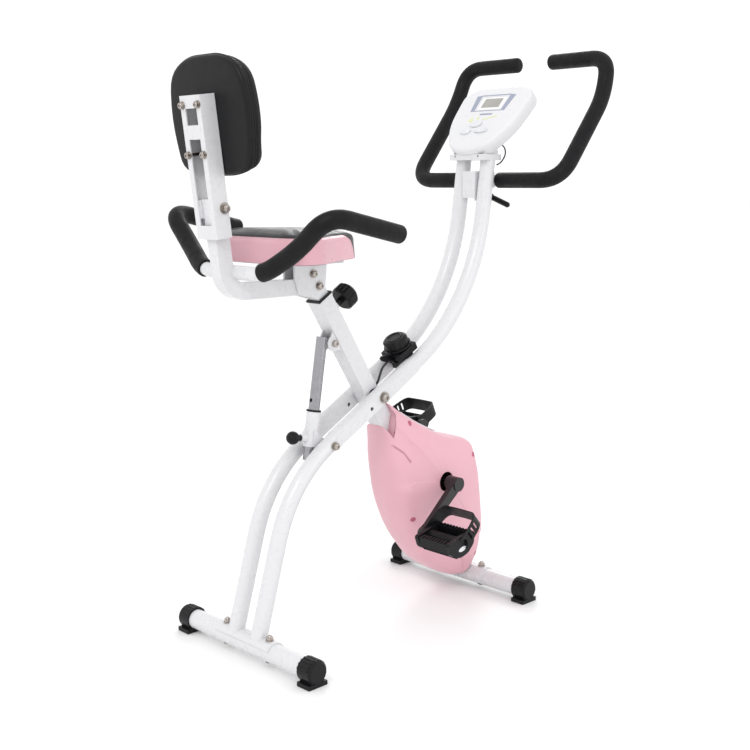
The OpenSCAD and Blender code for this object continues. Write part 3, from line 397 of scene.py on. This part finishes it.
def smooth_values(corners, key, steps):
    """A value for each outline point, blended from corner to corner."""
    n = len(corners)
    out = []
    for i in range(n):
        before, here, after = corners[i - 1][key], corners[i][key], corners[(i + 1) % n][key]
        for j in range(steps + 1):
            w = j / steps - 0.5
            other = before if w < 0 else after
            out.append(here * (1 - abs(w) / 2) + other * abs(w) / 2)
    return out


def dome(corners, middle, top, steps=8, levels=10, rings=7):
    """Vertices and faces of a padded dome on a closed outline, its flat base at height 0."""
    p = loop(corners, steps)
    edge, high = smooth_values(corners, 3, steps), smooth_values(corners, 4, steps)
    n = len(p)
    inward = []
    for i in range(n):
        d = (p[(i + 1) % n] - p[i - 1]).normalized()
        inward.append(Vector((-d.y, d.x)))
    layers = []
    for j in range(levels + 1):
        a = 0.5 * math.pi * j / levels
        layers.append([(*(p[i] + edge[i] * (1 - math.cos(a)) * inward[i]), high[i] * math.sqrt(math.sin(a)))
                       for i in range(n)])
    centre = Vector(middle)
    for r in range(1, rings):
        f = 1 - r / rings
        layers.append([(*(centre + f * (p[i] + edge[i] * inward[i] - centre)),
                        top - (top - high[i]) * f * f) for i in range(n)])
    verts = [Vector(v) for layer in layers for v in layer] + [Vector((*centre, top))]
    faces = []
    for j in range(len(layers) - 1):
        for i in range(n):
            a, b = j * n + i, j * n + (i + 1) % n
            faces.append((a, b, b + n, a + n))
    last = (len(layers) - 1) * n
    faces += [(last + i, last + (i + 1) % n, len(verts) - 1) for i in range(n)]
    faces.append(tuple(range(n))[::-1])
    return verts, faces, n


def inflate(obj, pinned, pressure, cap, frames=20):
    """Pads a cushion: a short pressure cloth run with some points pinned, its result kept in the mesh."""
    rest = [v.co.copy() for v in obj.data.vertices]
    group = obj.vertex_groups.new(name="held")
    group.add(pinned, 1.0, "REPLACE")
    cloth = obj.modifiers.new("padding", "CLOTH")
    s = cloth.settings
    s.quality = 6
    s.mass = 0.3
    s.tension_stiffness = s.compression_stiffness = 18
    s.bending_stiffness = 0.6
    s.use_pressure = True
    s.uniform_pressure_force = pressure
    s.effector_weights.gravity = 0
    s.vertex_group_mass = "held"
    scene = bpy.context.scene
    for f in range(1, frames + 1):
        scene.frame_set(f)
    shape = obj.evaluated_get(bpy.context.evaluated_depsgraph_get()).to_mesh()
    moved = [v.co.copy() for v in shape.vertices]
    obj.modifiers.remove(cloth)
    obj.vertex_groups.remove(group)
    for v, a, b in zip(obj.data.vertices, rest, moved):
        step = b - a
        if step.length > cap:
            step *= cap / step.length
        v.co = a + step
    scene.frame_set(1)


# ---------------------------------------------------------------- seat
SEAT_CORNERS = [
    (-255, -80, 30, 12, 49), (-240, -124, 16, 13, 49), (-196, -129, 24, 16, 47), (-118, -82, 42, 14, 45),
    (-60, -50, 20, 13, 43), (-20, -30, 22, 12, 41), (-20, 30, 22, 12, 41), (-60, 50, 20, 13, 43),
    (-118, 82, 42, 14, 45), (-196, 129, 24, 16, 47), (-240, 124, 16, 13, 49), (-255, 80, 30, 12, 49)]
SEAT_BASE = 750.6
SEAM_TOP = 790.0
SKIRT = 1.3  # thickness of the cover where it hangs over the pan, in mm
NOSE_X = -82.0


def seat_vinyl():
    """Pink sides and a black top that wraps down over the nose, with a stitched seam between."""
    m = vinyl("seat_vinyl", (0.72, 0.40, 0.46), (0.68, 0.36, 0.43), 0.34)
    xyz = add(m, "ShaderNodeSeparateXYZ")
    join(m, coordinates(m), xyz.inputs[0])
    past_nose = math_node(m, "SUBTRACT", xyz.outputs["X"], (NOSE_X - ORIGIN_X) * MM)
    ahead = math_node(m, "MAXIMUM", past_nose, 0.0)
    above = math_node(m, "SUBTRACT", xyz.outputs["Z"], (SEAT_BASE - 8) * MM)
    square = math_node(m, "ADD", math_node(m, "MULTIPLY", ahead, ahead),
                       math_node(m, "MULTIPLY", above, above))
    away = math_node(m, "SUBTRACT", math_node(m, "SQRT", square), (SEAM_TOP - SEAT_BASE + 8) * MM)
    is_black = ramp(m, away, -0.0004, 0.0004)
    pink = shader_of(m).inputs["Base Color"].links[0].from_socket
    mix = add(m, "ShaderNodeMix", data_type="RGBA")
    join(m, is_black, mix.inputs[0])
    join(m, pink, mix.inputs[6])
    mix.inputs[7].default_value = (0.017, 0.017, 0.019, 1)
    join(m, mix.outputs[2], shader_of(m).inputs["Base Color"])
    from_seam = math_node(m, "ABSOLUTE", away)
    bump(m, ramp(m, from_seam, 0.0, 0.0035), 0.8, 0.003)
    return m


def make_seat():
    verts, faces, n = dome(SEAT_CORNERS, (-165, 0), 50.5)
    # a thin skirt of the cover hangs down over the edge of the pan
    faces.pop()
    rim = [v.copy() for v in verts[:n]]
    rings = [0]
    for level, inset in ((-7.2, 0.0), (-7.2, SKIRT), (-0.3, SKIRT)):
        rings.append(len(verts))
        for i in range(n):
            run = (rim[(i + 1) % n] - rim[i - 1]).normalized()
            verts.append(rim[i] + Vector((-run.y * inset, run.x * inset, level)))
    for a, b in zip(rings, rings[1:]):
        faces += [(a + i, b + i, b + (i + 1) % n, a + (i + 1) % n) for i in range(n)]
    faces.append(tuple(range(rings[-1], rings[-1] + n)))
    verts = [at(v.x, v.y, SEAT_BASE + v.z) for v in verts]
    seat = piece("seat_cushion", verts, faces, seat_vinyl(), None)
    inflate(seat, list(range(2 * n)) + list(range(rings[1], rings[-1] + n)), 3.0, 0.004)
    # the sides pull in a little along a soft crease half way up
    for v in seat.data.vertices:
        level = (v.co.z / MM - SEAT_BASE) / 45
        if 0.1 < level < 0.9:
            pull = 0.0022 * math.exp(-((level - 0.45) / 0.16) ** 2)
            out = Vector((v.co.x - at(-150, 0, 0).x, v.co.y, 0)).normalized()
            v.co -= pull * out
    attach(seat, "seat")
    subdivide(seat, 1)
    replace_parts(seat, "seat_pad")


make_seat()

# ---------------------------------------------------------------- backrest
BACK_OUTLINE = [
    (-81, -52, 22), (-70, -98, 24), (20, -114, 44), (96, -100, 28), (122, -50, 27),
    (122, 50, 27), (96, 100, 28), (20, 114, 44), (-70, 98, 24), (-81, 52, 22)]


def make_back_cushion():
    corners = [(x * 0.985 + 0.3, y * 0.975, r, 21, 29) for x, y, r in reversed(BACK_OUTLINE)]
    corners = corners if turning(corners) > 0 else corners[::-1]
    verts, faces, n = dome(corners, (20, 0), 36)
    verts = [on_back(44.6 + v.z, v.y, v.x) for v in verts]
    pad = piece("back_cushion_cover", verts, faces, BLACK_VINYL, None)
    inflate(pad, list(range(2 * n)), 4.0, 0.006)
    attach(pad, "backrest")
    subdivide(pad, 1)
    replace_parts(pad, "back_cushion")


def turning(corners):
    """Twice the signed area of an outline: positive when it runs anticlockwise."""
    n = len(corners)
    return sum(corners[i][0] * corners[(i + 1) % n][1] - corners[(i + 1) % n][0] * corners[i][1]
               for i in range(n))


make_back_cushion()


def bead(name, outline, place, radius, material, body):
    """A closed round bead along a rounded outline."""
    pts = [place(p) for p in loop([(*c[:2], c[2], 0, 0) for c in outline], 8)]
    sides = 12
    verts, faces = [], []
    n = len(pts)
    for i, p in enumerate(pts):
        t = (pts[(i + 1) % n] - pts[i - 1]).normalized()
        u = t.cross(Vector((1, 0, 0))).normalized()
        w = t.cross(u)
        angles = [2 * math.pi * k / sides for k in range(sides)]
        verts += [p + radius * (math.cos(a) * u + math.sin(a) * w) for a in angles]
    for i in range(n):
        for k in range(sides):
            a, b = i * sides + k, i * sides + (k + 1) % sides
            c, d = ((i + 1) % n) * sides + (k + 1) % sides, ((i + 1) % n) * sides + k
            faces.append((a, b, c, d))
    return piece(name, verts, faces, material, body)


bead("back_shell_bead", BACK_OUTLINE, lambda p: on_back(42.5, p.y * 0.99, p.x * 0.99), 2.6 * MM,
     BLACK, "backrest")
bead("back_cushion_piping", BACK_OUTLINE, lambda p: on_back(47.5, p.y * 0.985, p.x * 0.985), 2.0 * MM,
     BLACK_VINYL, "backrest")

# ---------------------------------------------------------------- foam grips
FOAM_R = 16.7 * MM


def foam_grip(path):
    """One foam sleeve: full round, drawn in a little at its open end and domed at its closed end."""
    start, end = path[0], path[-1]
    first = (path[1] - path[0]).normalized()
    last = (path[-1] - path[-2]).normalized()
    points = [start, start + 0.6 * MM * first, start + 2 * MM * first] + path[1:-1]
    radii = [FOAM_R * 0.86, FOAM_R * 0.95, FOAM_R] + [FOAM_R] * (len(path) - 2)
    for k in range(7):
        a = 0.5 * math.pi * k / 6
        points.append(end + last * (4 * MM - 8 * MM * (1 - math.sin(a))))
        radii.append(FOAM_R * (0.35 + 0.65 * math.cos(a)))
    return tube(points, radii, 32)


def make_grips(name, half, body, cad):
    verts, faces = [], []
    for side in (1, -1):
        path = [Vector((p.x, side * p.y, p.z)) for p in half]
        v, f = foam_grip(path)
        faces += [tuple(i + len(verts) for i in q) for q in f]
        verts += v
    grips = piece(name, verts, faces, FOAM, body)
    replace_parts(grips, cad)


SIDE_X, SIDE_Z, SIDE_Y = -299, 729, 231
side_path = rounded([at(SIDE_X, 0, SIDE_Z), at(SIDE_X, 86, SIDE_Z), at(-280, 152, 770),
                     at(-272, SIDE_Y - 4, 834), at(-106, SIDE_Y, 797)], [30 * MM, 34 * MM, 46 * MM], 12)
SIDE_FOAM_FROM = 79 * MM  # how far out the side grips' foam starts
make_grips("side_foam_grips", [p for p in side_path if p.y > SIDE_FOAM_FROM], "seat", "side_grips")
BAR_X, BAR_Z, FOAM_START = 389, 892, 40
bar_path = rounded([at(BAR_X, 0, BAR_Z), at(BAR_X, 204, BAR_Z), at(529, 206, 1066), at(556, 196, 1149),
                    at(558, 46, 1149)], [54 * MM, 40 * MM, 42 * MM], 12)
make_grips("handlebar_foam_grips", [at(BAR_X, FOAM_START, BAR_Z)] + bar_path[1:], "bars", "bar_grips")


# ---------------------------------------------------------------- smooth versions of faceted parts
def smooth_copy(name, node, material, body, angle=32):
    """The same part with its facets welded and shaded as one curved surface."""
    mesh = NODES[node].data.copy()
    mesh.name = name
    mesh.materials.clear()
    mesh.materials.append(material)
    bm = bmesh.new()
    bm.from_mesh(mesh)
    bmesh.ops.remove_doubles(bm, verts=bm.verts, dist=0.00002)
    for edge in bm.edges:
        edge.smooth = len(edge.link_faces) == 2 and edge.calc_face_angle(0.0) < math.radians(angle)
    for face in bm.faces:
        face.smooth = True
    bm.to_mesh(mesh)
    bm.free()
    obj = bpy.data.objects.new(name, mesh)
    bpy.context.collection.objects.link(obj)
    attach(obj, body)
    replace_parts(obj, node)
    return obj


right_shell = smooth_copy("right_housing_shell", "right_housing", PINK, "main_frame")
left_shell = smooth_copy("left_housing_shell", "left_housing", PINK, "main_frame")
smooth_copy("backrest_shell", "back_shell", BLACK, "backrest")
smooth_copy("console_rear_case", "console_back", POD, "twin_frame")
face_case = smooth_copy("console_front_case", "console_front", POD, "twin_frame", 40)


def pipe_piece(name, half, radius, body, cad):
    """A bent bar with round sides, mirrored about the middle plane."""
    path = [Vector((p.x, -p.y, p.z)) for p in reversed(half)] + half[1:]
    verts, faces = tube(path, [radius] * len(path), 28)
    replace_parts(piece(name, verts, faces, WHITE, body), cad)


BAR_R = 12.7 * MM
pipe_piece("side_grip_bar", side_path, BAR_R, "seat", "side_bar")
pipe_piece("handlebar_pipe", bar_path, BAR_R, "bars", "handlebar")

# ---------------------------------------------------------------- housing shoulders
TUBE_HALF = 17.7  # half the main tube's width plus its clearance, in mm
SHOULDER_REAR, SHOULDER_FRONT, SHOULDER_TOP = -97, -62, -2  # heights along the main tube
WALL_T = 1.5


def shoulder_wall(name, shell, side):
    """The wall beside the main tube that closes the housing below its cut-away shoulder."""
    edge = [(-TUBE_HALF + 2 * TUBE_HALF * i / 16,
             SHOULDER_REAR + (SHOULDER_FRONT - SHOULDER_REAR) * i / 16, 0.0, -WALL_T) for i in range(17)]
    edge += [(TUBE_HALF, SHOULDER_FRONT + (SHOULDER_TOP - SHOULDER_FRONT) * i / 24, WALL_T, 0.0)
             for i in range(25)]
    verts, faces = [], []
    for x, up, dx, dz in edge:
        start = on_main(x + dx, side * 90, up + dz)
        hit, spot, _, _ = shell.ray_cast(start, Vector((0, -side, 0)), distance=(90 - TUBE_HALF) * MM)
        outer = abs(spot.y) / MM if hit else TUBE_HALF
        for y in (TUBE_HALF, max(outer - 0.4, TUBE_HALF + 0.1)):
            verts += [on_main(x, side * y, up), on_main(x + dx, side * y, up + dz)]
    for i in range(len(edge) - 1):
        a, b = 4 * i, 4 * i + 4
        faces += [(a, b, b + 2, a + 2), (a + 1, a + 3, b + 3, b + 1), (a + 2, b + 2, b + 3, a + 3),
                  (a, a + 1, b + 1, b)]
    last = 4 * len(edge) - 4
    faces += [(0, 2, 3, 1), (last, last + 1, last + 3, last + 2)]
    piece(name, verts, faces, PINK, "main_frame", smooth=False)


bpy.context.view_layer.update()
shoulder_wall("right_shoulder_wall", right_shell, -1)
shoulder_wall("left_shoulder_wall", left_shell, 1)


# ---------------------------------------------------------------- cables
def cable(name, route, reach, radius, cad):
    """A captive lead along the same route as its CAD solid, finer and round."""
    path = rounded(route, reach, 10)
    verts, faces = tube(path, [radius] * len(path), 16)
    lead = piece(name, verts, faces, CABLE, "twin_frame")
    length = sum((q - p).length for p, q in zip(path, path[1:]))
    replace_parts(lead, cad)
    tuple(path[0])


brake_route = [on_twin(*p) for p in [
    (100, 0, 8), (84, 0, 26), (60, 0, 24), (36, 0, 6), (16, 0, -2), (10, 0, -4)]]
cable("brake_cable_sheath", brake_route, [9 * MM, 9 * MM, 9 * MM, 7 * MM], 2.5 * MM, "brake_cable")
console_route = [at(*p) for p in [
    (372, -44, 972), (392, -52, 964), (396, -54, 948), (384, -52, 930), (372, -49, 924)]]
cable("console_lead", console_route, [9 * MM, 9 * MM, 8 * MM], 1.6 * MM, "console_cable")


# ---------------------------------------------------------------- bolts
def socket_head(centre, axis, radius, height, verts, faces):
    """One domed bolt head with a hexagon socket, its base at centre, added to the lists."""
    sides = 24
    axis = axis.normalized()
    u = axis.orthogonal().normalized()
    w = axis.cross(u)

    def ring(r, h, hexagon=False):
        first = len(verts)
        for k in range(sides):
            a = 2 * math.pi * k / sides
            q = r
            if hexagon:
                q = r / math.cos((a + math.pi / 6) % (math.pi / 3) - math.pi / 6)
            verts.append(centre + axis * h + q * (math.cos(a) * u + math.sin(a) * w))
        return first

    profile = [(1.0, 0.0), (1.0, 0.3), (0.96, 0.5), (0.86, 0.72), (0.70, 0.9), (0.56, 0.99), (0.50, 1.0)]
    rings = [ring(radius * a, height * b) for a, b in profile]
    rings.append(ring(radius * 0.36, height * 1.0, True))
    rings.append(ring(radius * 0.36, height * 0.35, True))
    for a, b in zip(rings, rings[1:]):
        for k in range(sides):
            m = (k + 1) % sides
            faces.append((a + k, a + m, b + m, b + k))
    faces.append(tuple(rings[-1] + k for k in range(sides)))
    faces.append(tuple(rings[0] + k for k in range(sides))[::-1])


def bolt_heads(name, heads, body):
    verts, faces = [], []
    for centre, axis, radius, height in heads:
        socket_head(centre, Vector(axis), radius * MM, height * MM, verts, faces)
    obj = piece(name, verts, faces, CHROME, body)
    mark_sharp(obj, 40)
    return obj


def mark_sharp(obj, angle):
    bm = bmesh.new()
    bm.from_mesh(obj.data)
    for edge in bm.edges:
        edge.smooth = len(edge.link_faces) == 2 and edge.calc_face_angle(0.0) < math.radians(angle)
    bm.to_mesh(obj.data)
    bm.free()


RIGHT, LEFT = (0, -1, 0), (0, 1, 0)
OUTER = 67 / 2 + 13  # outside of the pressed twin tubes, from the middle
CROSS = -math.hypot(STRUT_UP, STRUT_BACK)
bolt_heads("hinge_bolt_heads", [
    (on_twin(0, -OUTER - 6, 0), RIGHT, 9, 3.5), (on_twin(0, OUTER + 6, 0), LEFT, 9, 3.5),
    (on_twin(CROSS, -OUTER - 10, 0), RIGHT, 6.5, 2.5), (on_twin(CROSS, OUTER + 10, 0), LEFT, 6.5, 2.5)],
    "twin_frame")
bolt_heads("strut_bolt_heads", [
    (strut_high + Vector((0, -20.5 * MM, 0)), RIGHT, 6.5, 2.5),
    (strut_high + Vector((0, 21.5 * MM, 0)), LEFT, 6.5, 2.5)], "main_frame")
bolt_heads("seat_bolt_heads", [(on_main(0, s * y, z), (0, s, 0), r, 2.5)
                               for z in (272, 300) for s, y, r in ((-1, 23, 6), (1, 24, 6.5))], "seat")
BACKWARD = on_back(-1, 0, 0) - on_back(0, 0, 0)
bolt_heads("backrest_bolt_heads",
           [(on_back(-5.5, y, z), BACKWARD, 5.5, 2.2) for z in (-42, 42) for y in (-22, 22)]
           + [(on_back(23, s * 36.5, -136), (0, s, 0), 6.5, 2.5) for s in (-1, 1)], "backrest")

# ---------------------------------------------------------------- console markings
MARK_LIFT = 0.35 * MM


def decal(name, outlines, material, surface, place, away, body, lift=MARK_LIFT):
    """Thin raised marks laid on a curved surface, each a closed list of (x, y) in the place frame."""
    bm = bmesh.new()
    for outline in outlines:
        base = [bm.verts.new(place(x, y, 0)) for x, y in outline]
        bm.faces.new(base)
    bmesh.ops.triangulate(bm, faces=bm.faces[:])
    for _ in range(2):
        bmesh.ops.subdivide_edges(bm, edges=bm.edges[:], cuts=1, use_grid_fill=True)
    for v in bm.verts:
        hit, spot, _, _ = surface.ray_cast(v.co + away * 0.06, -away, distance=0.12)
        if hit:
            v.co = spot + away * lift
    shell = bmesh.ops.extrude_face_region(bm, geom=bm.faces[:])
    for v in [g for g in shell["geom"] if isinstance(g, bmesh.types.BMVert)]:
        v.co -= away * lift * 2.5
    mesh = bpy.data.meshes.new(name)
    bmesh.ops.recalc_face_normals(bm, faces=bm.faces[:])
    bm.to_mesh(mesh)
    bm.free()
    mesh.materials.append(material)
    obj = bpy.data.objects.new(name, mesh)
    bpy.context.collection.objects.link(obj)
    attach(obj, body)
    return obj


def ellipse(x, y, rx, ry, n=28):
    angles = [2 * math.pi * i / n for i in range(n)]
    return [(x + rx * math.cos(a), y + ry * math.sin(a)) for a in angles]


def bar(x, y, sx, sy):
    return [(x - sx, y - sy), (x + sx, y - sy), (x + sx, y + sy), (x - sx, y + sy)]


SLATE = moulded("slate_print", (0.30, 0.33, 0.42), (0.25, 0.28, 0.36), 0.4)
LIME = moulded("lime_print", (0.66, 0.70, 0.16), (0.58, 0.62, 0.12), 0.4)
FACE_OUT = on_face(0, 0, 1) - on_face(0, 0, 0)
FACE_OUT.normalize()
bpy.context.view_layer.update()
display_wings = [[(-24, s * 47), (23, s * 54), (25, s * 40), (21, s * 39), (-20, s * 37), (-24, s * 40)]
                 for s in (1, -1)]
decal("display_wings", display_wings + [bar(24, 0, 1.6, 40), bar(-23, 0, 1.1, 40)], SLATE, face_case,
      on_face, FACE_OUT, "twin_frame")
decal("console_bars", [bar(-34, -3, 2.2, 17)], SLATE, face_case, on_face, FACE_OUT, "twin_frame")
decal("console_marks", [bar(-46, 30, 1.0, 5), bar(-53, 28, 1.6, 7), bar(-45, 12, 3.0, 1.6),
                        bar(-50, 12, 1.4, 1.2)]
      + [bar(-50 + 2.2 * i, -6 - 7 * i, 0.9, 3.6) for i in range(5)], LIME, face_case, on_face, FACE_OUT,
      "twin_frame")


# ---------------------------------------------------------------- painted shade on the housing and marks on the pedals
def beside(side):
    """Side view of one side: x forward and y up in mm, drawn well inside the outer surface."""
    return lambda x, y, z: at(x, side * 60, y)


def pedal_face(x0, z0, side, tilt):
    c, s = math.cos(math.radians(tilt)), math.sin(math.radians(tilt))
    return lambda x, y, z: at(x0 + x * c - y * s, side * 180, z0 + x * s + y * c)


SCREW_SPOTS = [(119, 398), (119.5, 195), (298, 306), (322, 76)]
RECESS_R = 5.2
GROOVE = [(69, 357), (71, 360), (92, 344), (110, 321), (107, 318), (90, 340)]
for side_name, side, shell in (("right", -1, right_shell), ("left", 1, left_shell)):
    outward = Vector((0, side, 0))
    # dark pink discs painted as the shade inside the screw recesses
    decal(side_name + "_screw_recess_shade", [ellipse(x, z, RECESS_R, RECESS_R) for x, z in SCREW_SPOTS],
          PINK_RECESS_SHADE, shell, beside(side), outward, "main_frame")
    # a darker pink strip painted as the shade along the groove
    decal(side_name + "_housing_groove_shade", [GROOVE], PINK_SHADE, shell, beside(side), outward,
          "main_frame")
CRANK_X, CRANK_Z, CRANK_LEN, CRANK_TURN = 201, 265, 131, math.radians(-140)
reach_x, reach_z = CRANK_LEN * math.cos(CRANK_TURN), CRANK_LEN * math.sin(CRANK_TURN)
for side_name, side, flip, tilt in (("right", -1, 1, 12), ("left", 1, -1, -4)):
    decal(side_name + "_pedal_mark", [ellipse(-1, -10, 11, 4.6)], POD, NODES[side_name + "_pedal"],
          pedal_face(CRANK_X + flip * reach_x, CRANK_Z + flip * reach_z, side, tilt), Vector((0, side, 0)),
          "pedal_" + side_name)


def lens_window():
    """Grey display inside a white border."""
    m = DISPLAY
    s = shader_of(m)
    xyz = add(m, "ShaderNodeSeparateXYZ")
    join(m, coordinates(m), xyz.inputs[0])
    edge_y = math_node(m, "GREATER_THAN", math_node(m, "ABSOLUTE", xyz.outputs["Y"]), 25 * MM)
    low, high = on_face(-13, 0, 0), on_face(14, 0, 0)
    run = (high - low).normalized()
    along = add(m, "ShaderNodeVectorMath", operation="DOT_PRODUCT")
    join(m, coordinates(m), along.inputs[0])
    along.inputs[1].default_value = run
    below = math_node(m, "LESS_THAN", along.outputs["Value"], low.dot(run))
    above = math_node(m, "GREATER_THAN", along.outputs["Value"], high.dot(run))
    border = math_node(m, "MAXIMUM", edge_y, math_node(m, "MAXIMUM", below, above))
    mix = add(m, "ShaderNodeMix", data_type="RGBA")
    join(m, border, mix.inputs[0])
    join(m, s.inputs["Base Color"].links[0].from_socket, mix.inputs[6])
    mix.inputs[7].default_value = (0.80, 0.80, 0.81, 1)
    join(m, mix.outputs[2], s.inputs["Base Color"])


lens_window()

# ---------------------------------------------------------------- strut collar
verts, faces = [], []
ring_sides = 36
for r, h in ((11.6, 60.2), (11.6, 63), (12.2, 63.6), (14.2, 63.6), (14.8, 63), (14.8, 60.2)):
    for k in range(ring_sides):
        a = 2 * math.pi * k / ring_sides
        verts.append(on_strut(-20 + r * math.cos(a), r * math.sin(a), h))
for j in range(6):
    for k in range(ring_sides):
        m, nxt = (k + 1) % ring_sides, (j + 1) % 6
        faces.append((j * ring_sides + k, j * ring_sides + m, nxt * ring_sides + m, nxt * ring_sides + k))
piece("strut_collar", verts, faces, BLACK, "strut_sleeve")

# ---------------------------------------------------------------- floor
floor = piece("floor", [(-60, -60, 0), (60, -60, 0), (60, 60, 0), (-60, 60, 0)], [(0, 1, 2, 3)],
              new_material("floor_paint", (0.88, 0.88, 0.88), 0.6), None)
floor_material = floor.data.materials[0]
vary(floor_material, (0.9, 0.9, 0.9), (0.88, 0.88, 0.88), 2.0, 0.4)
floor.location.z = -0.0005
